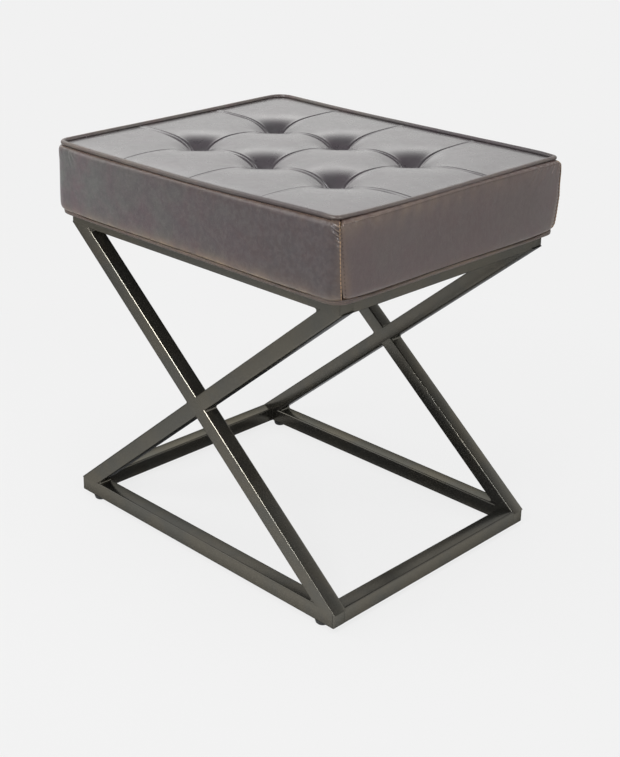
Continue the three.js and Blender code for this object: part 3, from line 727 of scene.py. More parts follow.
def makeTies(skin):
    tab, washer, bevel = tie["tab"], tie["washer"], tie["bevel"]
    angles = 2 * np.pi * np.arange(tie["sides"]) / tie["sides"]
    for number in range(1, 7):
        low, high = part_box(f"tuft_tie_{number}")
        middle = (low + high) / 2
        away = np.hypot(skin[..., 0] - middle.x, skin[..., 1] - middle.y)
        tabTop = skin[..., 2][away < tab].min() - seat["leather"] - seat["gap"]
        washerTop, tabBottom = low.z + tie["washerThick"], tabTop - tie["tabThick"]
        profile = (
            (washer - bevel, low.z), (washer, low.z + bevel), (washer, washerTop - bevel), (washer - bevel, washerTop),
            (tie["twine"], washerTop), (tie["twine"], tabBottom),
            (tab - bevel, tabBottom), (tab, (tabBottom + tabTop) / 2), (tab - bevel, tabTop))
        points = [(middle.x + out * math.cos(angle), middle.y + out * math.sin(angle), height)
                  for out, height in profile for angle in angles]
        faces = loftFaces(len(profile), tie["sides"])
        keep(newPiece(f"tuftTie{number}", points, faces, tuftTwine, 40), "thread", f"tuft_tie_{number}")


makeTies(topSkin)
print("Tuft ties made")


# Boxing: the four side panels

boxing = {
    "columns": ((0, 0.16, 60), (0.16, 0.84, 120), (0.84, 1, 60)),
    "rows": ((1, 0.66, 64), (0.66, 0.12, 26), (0.12, 0.04, 9), (0.04, 0, 10)),  # from, to, count
    "innerRows": 6,
    "turnUnder": 0.02,
    "bulge": 0.0025,
    "puff": 0.0035,
    "topRounding": (22, 30),  # the power at the corners, and what is added between them
    "bottomRounding": (10, 20),
    "topFull": 0.3,
    "puffLean": 0.002,
    "leanShares": (0.05, 0.12, 0.24, 0.5, 0.66, 0.82, 0.97),
    "leanRight": (-0.2, -0.1, 0.1, 0.4, 0.1, 0.0, -0.3),
    "leanLeft": (1.65, 0.1, 1.35),  # slope, start and most
    "shoulder": 0.0018,
    "shoulderFrom": (0.9, 0.985),
    "droop": 0.0015,
    "frontDroop": 0.0022,
    "droopFrom": (0.006, 0.022),
    "droopRun": 0.1,
    "seamTuck": 0.0013,
    "seamRun": 0.0017,
    "waves": 0.0007,
    "puckers": 0.00016,
    "puckerPitch": 0.013,
    "puckerRun": 0.006,
}
creases = {
    "count": 26,
    "seeds": (97, 91, 92, 93),
    "nearEndShare": 0.7,
    "nearEnd": {"start": (0.002, 0.045), "reach": (0.008, 0.03), "depth": 1.0},
    "middle": {"start": (0.05, None), "reach": (0.006, 0.016), "depth": 0.45},
    "lean": (0.3, 1.3),
    "width": (0.0013, 0.003),
    "depth": (0.0003, 0.0008),
}
seamFolds = {
    "height": 0.0018,
    # how far below the welt each fold meets the seam, its reach and its strength
    "places": ((0.0060, 0.011, 0.8), (0.0105, 0.012, 0.9), (0.0150, 0.010, 0.8),
               (0.0215, 0.007, 0.6), (0.0265, 0.006, 0.5), (0.034, 0.005, 0.3)),
    "leans": (0.62, 0.70),
    "width": 0.0009,
    "valley": 0.7,
    "valleyAway": 0.0017,
    "valleyWidth": 0.0010,
}
sideNames = ("right", "back", "left", "front")


def boxingBase(side, turn, share, inset):
    # the wall bulges, most of all at its corners and more to the right than to the left
    edge = seat["hemThickness"] + seat["gap"]
    topX, topY = weltHigh.x - seat["panelSink"], weltHigh.y - seat["panelSink"]
    offCorner = np.sin(np.pi * turn) ** 0.5
    onRight = offCorner if side == 0 else 0.0
    rounding = [low + more * off for (low, more), off in
                ((boxing["topRounding"], onRight), (boxing["bottomRounding"], offCorner))]
    profile = 1 - np.abs(2 * share - 1) ** np.where(share > 0.5, *rounding)
    profile = np.where(share > 0.5, np.maximum(profile, boxing["topFull"] * onRight), profile)
    puff = boxing["puff"] * profile
    draw = seat["drawIn"] * np.clip((share - 0.1) / 0.4, 0, 1) + puff
    swell = boxing["bulge"] * profile + puff - inset
    halfX, halfY, radius = (low + (high - low) * share for low, high in (
        (hemHigh.x - edge, topX), (hemHigh.y - edge, topY), (seat["hemCorner"] - edge, seat["weltCorner"])))
    x, y = sideOutline(side, turn, halfX + swell, halfY + swell, np.maximum(radius - inset, 0.0005), draw, share)
    shareX, shareY = x / topX, y / topY
    toCorner = (shareX + shareY) / 2 * np.abs(shareX * shareY) ** 6
    slope, start, most = boxing["leanLeft"]
    lean = np.where(toCorner > 0, np.interp(share, boxing["leanShares"], boxing["leanRight"]),
                    np.minimum(slope * share + start, most))
    lean = boxing["puffLean"] * profile * toCorner * lean
    x, y = x + lean * np.sign(x), y + lean * np.sign(y)
    height = seat["boxingBottom"] + (seat["boxingTop"] - seat["boxingBottom"]) * share + share * seatLift(x, y)
    # on the right its shoulder hides the lower half of the welt, and its lower edge hangs a little over the hem
    height = height + boxing["shoulder"] * onRight * rise(share, *boxing["shoulderFrom"])
    droop = boxing["frontDroop"] if side == 3 else boxing["droop"]
    height = height - droop * offCorner * rise(share, *boxing["droopFrom"]) * np.exp(-share / boxing["droopRun"])
    return np.stack(np.broadcast_arrays(x, y, height), axis=-1)


def creaseDepths(along, down, length, seed):
    # short creases that start at the top seam, most of them near its two ends
    rng = np.random.default_rng(seed)
    total = np.zeros(np.broadcast(along, down).shape)
    for _ in range(creases["count"]):
        kind = creases["nearEnd" if rng.uniform() < creases["nearEndShare"] else "middle"]
        start = rng.uniform(kind["start"][0], kind["start"][1] or length / 2)
        lean = rng.uniform(*creases["lean"])
        if rng.uniform() < 0.5:
            start, lean = length - start, -lean
        reach = rng.uniform(*kind["reach"])
        width = rng.uniform(*creases["width"])
        depth = rng.uniform(*creases["depth"]) * kind["depth"]
        step = np.clip((down + (along - start) * lean) / (1 + lean * lean), 0, None)
        away = ((along - start) - lean * down) / math.sqrt(1 + lean * lean)
        taper = np.clip(1 - step / reach, 0, 1) ** 1.5 * np.clip(down / 0.003, 0, 1)
        total -= depth * taper * np.exp(-(away / width) ** 2)
        total += 0.6 * depth * taper * np.exp(-((away - 1.9 * width) / width) ** 2)
    return total


def nearFolds(away, down):
    # short sharp folds that run down to the seam at the corner nearest the camera, from 0 to 1
    total = np.zeros(np.broadcast(away, down).shape)
    for k, (low, reach, strength) in enumerate(seamFolds["places"]):
        lean = seamFolds["leans"][k % 2]
        side = (down - low + lean * away) / math.sqrt(1 + lean * lean)
        taper = np.clip(1 - away / reach, 0, 1) ** 0.8 * rise(away, 0.0006, 0.002)
        fold = np.exp(-(side / seamFolds["width"]) ** 2)
        fold = fold - seamFolds["valley"] * np.exp(-((side - seamFolds["valleyAway"]) / seamFolds["valleyWidth"]) ** 2)
        total = total + strength * taper * fold
    return total


def spread(parts):
    pieces = [np.linspace(low, high, count, endpoint=False) for low, high, count in parts]
    return np.concatenate([*pieces, [parts[-1][1]]])


def boxingWearAndPaintedLight(side, along, height, down, folds):
    # rubbed along its edges, on the long sides most of all above the hem, on the short ones under the welt
    length = along[0, -1]
    share = along / length
    seamAway = np.minimum(along, length - along)
    worn = softWaves(along, height, 0.03, 41 + side)
    if side % 2 == 0:
        fading = 1.1 - 0.7 * share if side == 0 else 0.7
        band = np.exp(-down / 0.009) - 0.8 * np.exp(-down / 0.0025)
        rubAndGlint = 0.3 * np.exp(-height / 0.004) + fading * (0.6 + 0.5 * worn) * band
        toneAndShade = (0.45 + 0.4 * np.sin(np.pi * share)) * (1 - 0.3 * share * rise(-height, -0.04, 0))
    else:
        rubAndGlint = (0.7 + 0.4 * np.sin(np.pi * share) + 0.5 * worn) * np.exp(-np.clip(height - 0.001, 0, None) / 0.0045)
        rubAndGlint = rubAndGlint + 0.35 * np.exp(-down / 0.0012) + 0.2 * np.clip(worn, 0, 1) * np.exp(-down / 0.007)
        toneAndShade = rise(share, -0.15, 0.9)
    # painted highlight: the folds by the near seam are lightened with the rubbed colour, standing in for the glints on
    # their ridges
    rubAndGlint = rubAndGlint + np.clip(folds, 0, 1) * rise(-seamAway, -0.009, -0.003)
    rubAndGlint = rubAndGlint + 0.5 * np.exp(-seamAway / 0.0035) * (0.4 + 0.6 * rise(-height, -0.06, -0.01))
    # darker along the seams, and painted shade just under the welt
    toneAndShade = toneAndShade + 0.4 * np.exp(-seamAway / 0.004) + 0.6 * np.exp(-down / 0.005)
    return {"rubAndGlint": np.clip(rubAndGlint, 0, 1), "toneAndShade": np.clip(toneAndShade, 0, 1)}


def makeBoxing(side):
    name = sideNames[side]
    columns = spread(boxing["columns"])[None, :]
    shares = spread(boxing["rows"])[:, None]
    outer = boxingBase(side, columns, shares, 0.0)
    steps = np.linalg.norm(np.diff(outer[0], axis=0), axis=1)
    along = np.concatenate([[0], np.cumsum(steps)])[None, :]
    tall = seat["boxingTop"] - seat["boxingBottom"]
    height = shares * tall
    down = tall - height
    length = along[0, -1]
    seamAway = np.minimum(along, length - along)
    waves = softWaves(along, height, 0.13, 31 + side) + 0.35 * softWaves(along, height * 0.6, 0.04, 57 + side)
    puckers = np.sin(2 * np.pi * along / boxing["puckerPitch"] + 2 * softWaves(along, height, 0.05, 71))
    folds = nearFolds(length - along, down) if name == "front" else 0.0
    push = boxing["waves"] * np.sin(np.pi * np.clip(shares, 0, 1)) * waves
    push = push + boxing["puckers"] * puckers * np.exp(-down / boxing["puckerRun"])
    push = push + creaseDepths(along, down, length, creases["seeds"][side]) + seamFolds["height"] * folds
    push = push - boxing["seamTuck"] * np.exp(-(seamAway / boxing["seamRun"]) ** 2)
    normals = -gridNormals(outer)
    outer = outer + normals * push[..., None]
    # the panel turns in under the board, and has its inner face behind
    atBottom = np.array([[0.0]])
    flange = np.array([0, 0, seat["leather"]])
    underEdge = boxingBase(side, columns, atBottom, boxing["turnUnder"])
    innerInset = seat["leather"] * 1.6
    inner = boxingBase(side, columns, np.linspace(0.02, 1, boxing["innerRows"])[:, None], innerInset)
    inner[0] = boxingBase(side, columns, atBottom, innerInset)[0] + flange
    section = np.concatenate([outer, underEdge, underEdge + flange, inner])
    # the seam gap: both ends stop just short of the middle of the corner
    for end, step in ((0, 1), (-1, -2)):
        towards = section[:, step] - section[:, end]
        section[:, end] += towards / np.linalg.norm(towards, axis=1, keepdims=True) * seat["gap"] / 2
    rows, count = section.shape[:2]
    faces = gridFaces(rows, count, closeRows=True)
    faces += [tuple(range(0, rows * count, count)), tuple(range(rows * count - 1, 0, -count))]
    leather = endLeather if side % 2 == 0 else sideLeather
    piece = newPiece("boxing" + name.capitalize(), section.reshape(-1, 3), faces, leather, 50)
    for label, values in boxingWearAndPaintedLight(side, along, height, down, folds).items():
        whole = np.zeros((rows, count))
        whole[:len(shares)] = values
        paint(piece, label, whole.reshape(-1))
    keep(piece, "seat_leather", "boxing_" + name)
    return outer, normals, along[0]


boxingSkins = [makeBoxing(side) for side in range(4)]
print("Boxing made")


# Welt and hem: rings swept round the seat

welt = {
    "sides": 12,
    "columns": 190,
    "uneven": 0.05,
    "flatOnRight": 0.2,
    "rubAndGlint": 0.22,
    "rubOutward": 0.08,
    "rubToRight": -0.2,
    "rubOnRight": 0.12,
    "toneToRight": 0.7,
}
hem = {
    "columns": 150,
    "edgeRadius": 0.0008,
    "uneven": 0.0002,
    "sag": 0.0003,
    "lowered": 0.0026,
    "loweredFrom": (0.03, 0.3),
    "rubAndGlint": 0.6,
    "plainEdge": 0.8,
}


def ringPath(halfX, halfY, radius, drawIn, columns, upShare=1.0):
    turns = (np.arange(columns) + 0.5) / columns
    xs, ys = zip(*(sideOutline(side, turns, halfX, halfY, radius, drawIn, upShare) for side in range(4)))
    x, y = np.concatenate(xs), np.concatenate(ys)
    tangent = np.stack([np.roll(x, -1) - np.roll(x, 1), np.roll(y, -1) - np.roll(y, 1)])
    tangent = tangent / np.linalg.norm(tangent, axis=0)
    return x, y, tangent[1], -tangent[0]


def sweep(path, heights, outs, ups):
    x, y, outX, outY = path
    points = np.stack([
        x[:, None] + outX[:, None] * outs,
        y[:, None] + outY[:, None] * outs,
        heights[:, None] + ups,
    ], axis=-1)
    return points, gridFaces(points.shape[0], points.shape[1], closeRows=True, closeColumns=True)


def makeWelt():
    radius = seat["weltRadius"]
    path = ringPath(weltHigh.x - radius, weltHigh.y - radius, seat["weltCorner"] - radius, seat["drawIn"],
                    welt["columns"])
    x, y = path[0], path[1]
    angles = 2 * np.pi * np.arange(welt["sides"]) / welt["sides"]
    onRight = np.clip((x / weltHigh.x - 0.9) / 0.1, 0, 1)[:, None]
    toRight = rise(x / weltHigh.x, -0.8, 0.6)[:, None]
    flat = welt["flatOnRight"] * onRight
    heights = seat["weltHeight"] + seatLift(x, y) - (radius * flat)[:, 0]
    radius = radius * (1 + welt["uneven"] * softWaves(x, y, 0.05, 3))[:, None]
    points, faces = sweep(path, heights, radius * np.cos(angles), radius * (1 - flat) * np.sin(angles))
    piece = newPiece("topWelt", points.reshape(-1, 3), faces, edgeLeather)
    rubAndGlint = welt["rubAndGlint"] + welt["rubOutward"] * np.cos(angles)
    rubAndGlint = rubAndGlint + welt["rubToRight"] * toRight + welt["rubOnRight"] * onRight
    paint(piece, "rubAndGlint", np.clip(rubAndGlint, 0, 1).reshape(-1))
    paint(piece, "toneAndShade", np.repeat(welt["toneToRight"] * toRight, welt["sides"]))
    keep(piece, "seat_leather", "top_welt")


def roundedSection(width, tall, radius, steps=4):
    # corner arcs of a rounded rectangle that hangs down from zero and runs inward from zero
    outs, ups = [], []
    corners = ((-radius, -radius, 0), (-width + radius, -radius, 90), (-width + radius, -tall + radius, 180),
               (-radius, -tall + radius, 270))
    for out, up, start in corners:
        for angle in np.radians(np.linspace(start, start + 90, steps + 1)):
            outs.append(out + radius * math.cos(angle))
            ups.append(up + radius * math.sin(angle))
    return np.array(outs), np.array(ups)


def makeHem():
    path = ringPath(hemHigh.x, hemHigh.y, seat["hemCorner"], 0.0, hem["columns"], 0.0)
    x, y = path[0], path[1]
    tall = hemHigh.z - hemLow.z
    outs, ups = roundedSection(seat["hemThickness"], tall, hem["edgeRadius"])
    offCorner = 1 - np.abs(x / hemHigh.x * y / hemHigh.y)
    lowered = hem["lowered"] * rise(offCorner, *hem["loweredFrom"])
    stretch = 1 + (hem["sag"] * rise(offCorner, 0.0, 0.5) - lowered) / tall
    heights = hemHigh.z - lowered + hem["uneven"] * softWaves(x, y, 0.06, 8)
    points, faces = sweep(path, heights, outs[None, :], ups[None, :] * stretch[:, None])
    piece = newPiece("bottomHem", points.reshape(-1, 3), faces, hemLeather)
    # its two edges are rubbed, and the band between them is dark
    toEdge = np.abs(2 * np.clip(-ups / tall, 0, 1) - 1)
    paint(piece, "rubAndGlint", np.tile(hem["rubAndGlint"] * toEdge ** 3, len(x)))
    paint(piece, "toneAndShade", np.tile(1 - hem["plainEdge"] * toEdge ** 2, len(x)))
    keep(piece, "seat_leather", "bottom_hem")
    return path, lowered


makeWelt()
hemPath = makeHem()
print("Welt and hem made")


# Stitches, by geometry nodes along a line of points

stitches = {
    "pitch": 0.0038,
    "length": 0.0030,
    "radius": 0.00032,
    "belowWelt": 0.0019,
    "seamPitch": 0.0042,
    "seamLength": 0.0040,
    "seamRadius": 0.0006,
    "fromSeam": 0.0011,
    "raised": 0.3,
    "raisedOnLongSides": 0.5,
    "raisedOnShortSides": 0.2,
    "shorterOnShortSides": 0.35,
    "hemShare": 0.45,  # how far down the hem its row lies
}


def makeStitchTree():
    tree = bpy.data.node_groups.new("stitchRow", "GeometryNodeTree")
    sockets = {}
    for label, kind in (("Geometry", "NodeSocketGeometry"), ("Pitch", "NodeSocketFloat"),
                        ("Length", "NodeSocketFloat"), ("Radius", "NodeSocketFloat"), ("Thread", "NodeSocketMaterial")):
        sockets[label] = tree.interface.new_socket(label, in_out="INPUT", socket_type=kind).identifier
    tree.interface.new_socket("Geometry", in_out="OUTPUT", socket_type="NodeSocketGeometry")
    start, end = tree.nodes.new("NodeGroupInput"), tree.nodes.new("NodeGroupOutput")
    curve = tree.nodes.new("GeometryNodeMeshToCurve")
    along = addNode(tree, "GeometryNodeCurveToPoints", mode="LENGTH")
    bead = addNode(tree, "GeometryNodeMeshUVSphere", {"Segments": 6, "Rings": 5, "Radius": 1.0})
    size = tree.nodes.new("ShaderNodeCombineXYZ")
    place = tree.nodes.new("GeometryNodeInstanceOnPoints")
    real = tree.nodes.new("GeometryNodeRealizeInstances")
    smooth = tree.nodes.new("GeometryNodeSetShadeSmooth")
    finish = tree.nodes.new("GeometryNodeSetMaterial")
    for source, target in (
            (start.outputs["Geometry"], curve.inputs["Mesh"]),
            (curve.outputs["Curve"], along.inputs["Curve"]),
            (start.outputs["Pitch"], along.inputs["Length"]),
            (start.outputs["Radius"], size.inputs["X"]),
            (start.outputs["Radius"], size.inputs["Y"]),
            (multiply(tree, start.outputs["Length"], 0.5), size.inputs["Z"]),
            (along.outputs["Points"], place.inputs["Points"]),
            (along.outputs["Rotation"], place.inputs["Rotation"]),
            (bead.outputs["Mesh"], place.inputs["Instance"]),
            (size.outputs["Vector"], place.inputs["Scale"]),
            (place.outputs["Instances"], real.inputs["Geometry"]),
            (real.outputs["Geometry"], smooth.inputs["Geometry"]),
            (smooth.outputs["Geometry"], finish.inputs["Geometry"]),
            (start.outputs["Thread"], finish.inputs["Material"]),
            (finish.outputs["Geometry"], end.inputs["Geometry"])):
        tree.links.new(source, target)
    return tree, sockets


stitchTree, stitchSockets = makeStitchTree()


def growByTree(name, tree, values, points, edges):
    mesh = bpy.data.meshes.new(name)
    mesh.from_pydata([tuple(point) for point in points], edges, [])
    piece = bpy.data.objects.new(name, mesh)
    bpy.context.scene.collection.objects.link(piece)
    modifier = piece.modifiers.new("grow", "NODES")
    modifier.node_group = tree
    for identifier, value in values.items():
        modifier[identifier] = value
    evaluated = piece.evaluated_get(bpy.context.evaluated_depsgraph_get())
    made = bpy.data.meshes.new_from_object(evaluated)
    piece.modifiers.clear()
    piece.data = made
    return piece


def stitchLine(name, points, closed, thread, pitch, length, radius):
    count = len(points)
    edges = [(i, (i + 1) % count) for i in range(count if closed else count - 1)]
    values = dict(zip((stitchSockets[label] for label in ("Pitch", "Length", "Radius", "Thread")),
                      (pitch, length, radius, thread)))
    keep(growByTree(name, stitchTree, values, points, edges), "thread")


def rowAtHeight(skin, height):
    outer, normals, _ = skin
    depths = outer[:, :, 2].mean(axis=1)
    index = int(np.abs(depths - height).argmin())
    return outer[index] + normals[index] * stitches["radius"] * stitches["raised"]


def makeStitches():
    pitch, length, radius = stitches["pitch"], stitches["length"], stitches["radius"]
    for name, skin in zip(sideNames, boxingSkins):
        thread = dullThread if name in ("front", "back") else darkThreadAndHoleShade
        row = rowAtHeight(skin, seat["boxingTop"] - stitches["belowWelt"])[3:-3]
        stitchLine("weltStitches" + name.capitalize(), row, False, thread, pitch, length, radius)
    (x, y, outX, outY), lowered = hemPath
    top = hemHigh.z - lowered
    lift = radius * stitches["raised"]
    hemRing = np.stack([x + outX * lift, y + outY * lift, top - stitches["hemShare"] * (top - hemLow.z)], axis=-1)
    stitchLine("hemStitches", hemRing, True, hemThread, pitch, length, radius)
    for side, (outer, normals, along) in enumerate(boxingSkins):
        radius, length = stitches["seamRadius"], stitches["seamLength"]
        thread, raised = tanThread, stitches["raisedOnLongSides"]
        # on the short sides the beads are short, dark and hardly raised: they stand for the needle holes beside the
        # seam, their colour painted shade
        if side % 2 == 0:
            thread, raised = darkThreadAndHoleShade, stitches["raisedOnShortSides"]
            length = length * stitches["shorterOnShortSides"]
        for away, label in ((along, "First"), (along[-1] - along, "Last")):
            index = int(np.abs(away - stitches["fromSeam"]).argmin())
            line = outer[2:-4, index] + normals[2:-4, index] * radius * raised
            name = "seam" + sideNames[side].capitalize() + label
            stitchLine(name, line, False, thread, stitches["seamPitch"], length, radius)


makeStitches()
print("Stitches made")


# Steel frame: square tubes with rounded edges

railLow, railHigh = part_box("front_bottom_rail")
topRailLow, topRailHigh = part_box("front_top_rail")
capLow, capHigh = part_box("front_bottom_right_cap")

tube = {
    "cornerRadius": 0.0022,
    "cornerSteps": 5,
    "legSetback": 0.001,  # from the frame's end to the leg's corner
    "capRound": 0.0019,
    "overlap": 0.0004,  # how far caps and fillets reach into the tubes
    "fillet": 0.0024,
    "filletSteps": 8,
    "weld": 0.0009,
    "weldSunk": 0.0004,
    "weldUneven": (0.75, 1.1),
    "weldSteps": 6,
    "innerShade": 0.3,
}
tube["size"] = railHigh.z - railLow.z
tubeHalf = tube["size"] / 2
levels = (("top", topRailLow.z + tubeHalf), ("bottom", railLow.z + tubeHalf))
toX, toY, toZ = Vector((1, 0, 0)), Vector((0, 1, 0)), Vector((0, 0, 1))
frameHalfX = capHigh.x
frameHalfY = -railLow.y
frameMiddle = (topRailHigh.z + railLow.z) / 2
legHalfRise = (topRailLow.z - railHigh.z) / 2
legHalfRun = frameHalfX - tube["legSetback"]
legDiagonal = 2 * math.hypot(legHalfRun, legHalfRise)
legTilt = math.pi / 2 - math.asin(tube["size"] / legDiagonal) - math.atan2(legHalfRise, legHalfRun)


def tubeSection(size, radius):
    half, steps = size / 2, tube["cornerSteps"]
    points = []
    for quarter in range(4):
        start = quarter * math.pi / 2
        middle = start + math.pi / 4
        inX, inY = math.copysign(half - radius, math.cos(middle)), math.copysign(half - radius, math.sin(middle))
        for step in range(steps + 1):
            angle = start + step * math.pi / 2 / steps
            points.append((inX + radius * math.cos(angle), inY + radius * math.sin(angle)))
    return points


def tubeBetween(name, centre, along, aside, planes, *nodes):
    # planes are two pairs of a point and a normal that cut the tube's ends
    along, aside = along.normalized(), aside.normalized()
    upward = along.cross(aside)
    rings = []
    for (point, normal), way in zip(planes, (-1, 1)):
        # the end reaches past its neighbour's rounded edge, where the weld is ground flush
        point = point + normal * way * math.copysign(tube["cornerRadius"], normal.dot(along))
        ring = []
        for first, second in tubeSection(tube["size"], tube["cornerRadius"]):
            start = centre + aside * first + upward * second
            ring.append(start + along * (normal.dot(point - start) / normal.dot(along)))
        rings.append(ring)
    points = [*rings[0], *rings[1]]
    piece = newPiece(name, points, loftFaces(2, len(rings[0])), frameLacquer, 30)
    # painted shade: darker on the faces that look into the frame; aside is +Y for a tube of a side frame, +X for a
    # stretcher
    inward = np.array([-math.copysign(1, centre.dot(aside)) * (point - centre).dot(aside) for point in points])
    flatFace = (tubeHalf - tube["cornerRadius"], tubeHalf)
    shaded = tube["innerShade"] * rise(inward, *flatFace)
    # painted shade: the tops of the front bottom rail and the right bottom stretcher, under the seat's edge, are
    # darkened in full
    if name in ("frontBottomRail", "rightBottomStretcher"):
        shaded = np.maximum(shaded, rise(np.array([(point - centre).z for point in points]), *flatFace))
    paint(piece, "inner", shaded)
    keep(piece, "frame_lacquer", *nodes)


def makeCap(name, centre, outward, *nodes):
    rings = []
    length = capHigh.x - capLow.x
    depthSteps = [(-tube["overlap"], tube["overlap"]), (0.0, 0.0)]
    depthSteps += [(length - tube["capRound"] * (1 - math.sin(angle)), tube["capRound"] * (1 - math.cos(angle)))
                   for angle in np.radians((0, 30, 60, 90))]
    for depth, inset in depthSteps:
        section = tubeSection(tube["size"] - 2 * inset, tube["cornerRadius"] - inset)
        rings.append([centre + Vector((outward * depth, first, second)) for first, second in section])
    faces = loftFaces(len(rings), len(rings[0]), flip=outward < 0)
    piece = newPiece(name, [point for ring in rings for point in ring], faces, frameLacquer, 40)
    keep(piece, "frame_lacquer", *nodes)


def makeSideFrame(face, side):
    y = side * (frameHalfY - tubeHalf)
    centre = Vector((0, y, frameMiddle))
    back = Vector((capLow.x - tube["cornerRadius"], 0, 0))
    for level, height in levels:
        name = face + level.capitalize()
        tubeBetween(name + "Rail", Vector((0, y, height)), toX, toY, ((-back, toX), (back, toX)),
                    f"{face}_{level}_rail")
        for label, outward in (("left", -1), ("right", 1)):
            makeCap(name + label.capitalize() + "Cap", Vector((outward * capLow.x, y, height)), outward,
                    f"{face}_{level}_{label}_cap")
    longWay = Vector((math.sin(legTilt), 0, math.cos(legTilt)))
    halfWay = Vector((-math.sin(legTilt), 0, math.cos(legTilt)))
    longSide = Vector((math.cos(legTilt), 0, -math.sin(legTilt)))
    up, half = toZ * legHalfRise, longSide * tubeHalf
    for name, node, way, planes in (
            ("LongLeg", "_long_leg", longWay, ((centre - up, toZ), (centre + up, toZ))),
            ("UpperHalfLeg", "_upper_half_leg", halfWay, ((centre - half, longSide), (centre + up, toZ))),
            ("LowerHalfLeg", "_lower_half_leg", halfWay, ((centre - up, toZ), (centre + half, longSide)))):
        tubeBetween(face + name, centre, way, toY, planes, face + node)


def makeStretchers():
    reach = toY * (frameHalfY - tube["size"])
    for label, side in (("left", -1), ("right", 1)):
        for level, height in levels:
            centre = Vector((side * (frameHalfX - tubeHalf), 0, height))
            tubeBetween(label + level.capitalize() + "Stretcher", centre, toY, toX, ((-reach, toY), (reach, toY)),
                        f"{label}_{level}_stretcher")


sideFrames = (("front", -1), ("back", 1))
for face, side in sideFrames:
    makeSideFrame(face, side)
makeStretchers()
print("Tubes made")


# Welds: fillets where legs meet rails and each other, and beads round the stretchers' ends

def filletCorners():
    # a point and the two directions along the faces that meet in it, in the plane of a side frame
    sine, cosine, half = math.sin(legTilt), math.cos(legTilt), tubeHalf
    corners = []
    for way in (1, -1):
        reach = (sine * legHalfRise - half) / cosine
        for mirror in (1, -1):
            corners.append(((mirror * way * reach, way * legHalfRise), (-mirror * way, 0),
                            (-mirror * way * sine, -way * cosine)))
        corners.append(((way * half / cosine, 0), (way * sine, cosine), (way * sine, -cosine)))
        corners.append(((0, way * half / sine), (sine, way * cosine), (-sine, way * cosine)))
    return corners


def filletSection(corner, first, second):
    corner, first, second = (np.array(value, float) for value in (corner, first, second))
    opening = math.acos(float(first @ second)) / 2
    middle = (first + second) / np.linalg.norm(first + second)
    centre = corner + middle * tube["fillet"] / math.sin(opening)
    reach = tube["fillet"] / math.tan(opening)
    start, end = corner + first * reach - centre, corner + second * reach - centre
    between = math.acos(float(start @ end) / tube["fillet"] ** 2)
    steps = np.linspace(0, 1, tube["filletSteps"] + 1)
    arc = [centre + (start * math.sin((1 - step) * between) + end * math.sin(step * between)) / math.sin(between)
           for step in steps]
    section = [corner - middle * tube["overlap"], *arc]
    area = sum(a[0] * b[1] - b[0] * a[1] for a, b in zip(section, section[1:] + section[:1]))
    return section if area > 0 else section[::-1]


def makeFillets(face, side):
    y = side * (frameHalfY - tubeHalf)
    reach = tubeHalf - 0.7 * tube["cornerRadius"]
    points, faces = [], []
    for corner, first, second in filletCorners():
        section = filletSection(corner, first, second)
        faces += loftFaces(2, len(section), len(points), flip=True)
        for depth in (-reach, reach):
            points += [(x, y + depth, frameMiddle + z) for x, z in section]
    keep(newPiece(face + "LegWelds", points, faces, frameLacquer, 40), "frame_lacquer")


def makeBeads():
    points, faces = [], []
    section = tubeSection(tube["size"] - 2 * tube["weldSunk"], tube["cornerRadius"])
    rng = np.random.default_rng(12)
    corners = [(sideX, sideY, height) for sideX in (-1, 1) for sideY in (-1, 1) for _, height in levels]
    for sideX, sideY, height in corners:
        faces += gridFaces(len(section), tube["weldSteps"], len(points), closeRows=True, closeColumns=True,
                           flip=sideY > 0)
        x, y = sideX * (frameHalfX - tubeHalf), sideY * (frameHalfY - tube["size"])
        for first, second in section:
            length = math.hypot(first, second)
            # flatter where it is ground, outside and on top
            outward, upward = rise(first * sideX, 0.004, 0.009), rise(second, 0.006, 0.009)
            radius = tube["weld"] * rng.uniform(*tube["weldUneven"]) * (1 - 0.7 * outward) * (1 - 0.3 * upward)
            for angle in np.arange(tube["weldSteps"]) * 2 * math.pi / tube["weldSteps"]:
                out = 1 + radius * math.cos(angle) / length
                points.append((x + first * out, y - sideY * radius * math.sin(angle), height + second * out))
    keep(newPiece("stretcherWelds", points, faces, frameLacquer), "frame_lacquer")


for face, side in sideFrames:
    makeFillets(face, side)
makeBeads()
print("Welds made")


# Finishes of the solids that stay as they are

carriedFinishes = {
    "seat_tab_": frameLacquer,
    "glide_screw_": zincSteel,
    "glide_": blackPlastic,
    "seat_screw_": zincSteel,
    "t_nut_": zincSteel,
    "dust_cover": blackCloth,
    "seat_board": plywood,
}
for nodeName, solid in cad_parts.items():
    finish = next((finish for start, finish in carriedFinishes.items() if nodeName.startswith(start)), None)
    if finish:
        solid.data.materials.clear()
        solid.data.materials.append(finish)
print("Carried solids finished")


# Floor, world and lamps

studio = {
    "pale": 0.88,
    "floorSize": 16.0,
    "floorShadow": 0.09,
    "shadowReach": (0.35, 0.9),
    "mirroredShade": 0.06,
    "shadeReach": (-0.04, 0.025),
    "mirroredNear": 1.12,
    "mirroredFar": 0.75,
    "mirroredReach": (0.05, 0.6),
    "worldStrength": 0.35,
    "backdropTint": (0.885, 0.878, 0.862),
    "backdropLow": 0.98,
    "backdropTop": 2.5,
    "backdropRise": (0.33, 0.48),
    "ceilingDark": 0.06,
    "ceilingRise": (0.5, 0.88),
    "cornerDark": 0.75,
    "cornerAcross": (-0.35, 0.05),
    "cornerUp": (0.42, 0.62),
    "leftPart": 0.83,
    "leftAcross": (-0.62, -0.55),
}
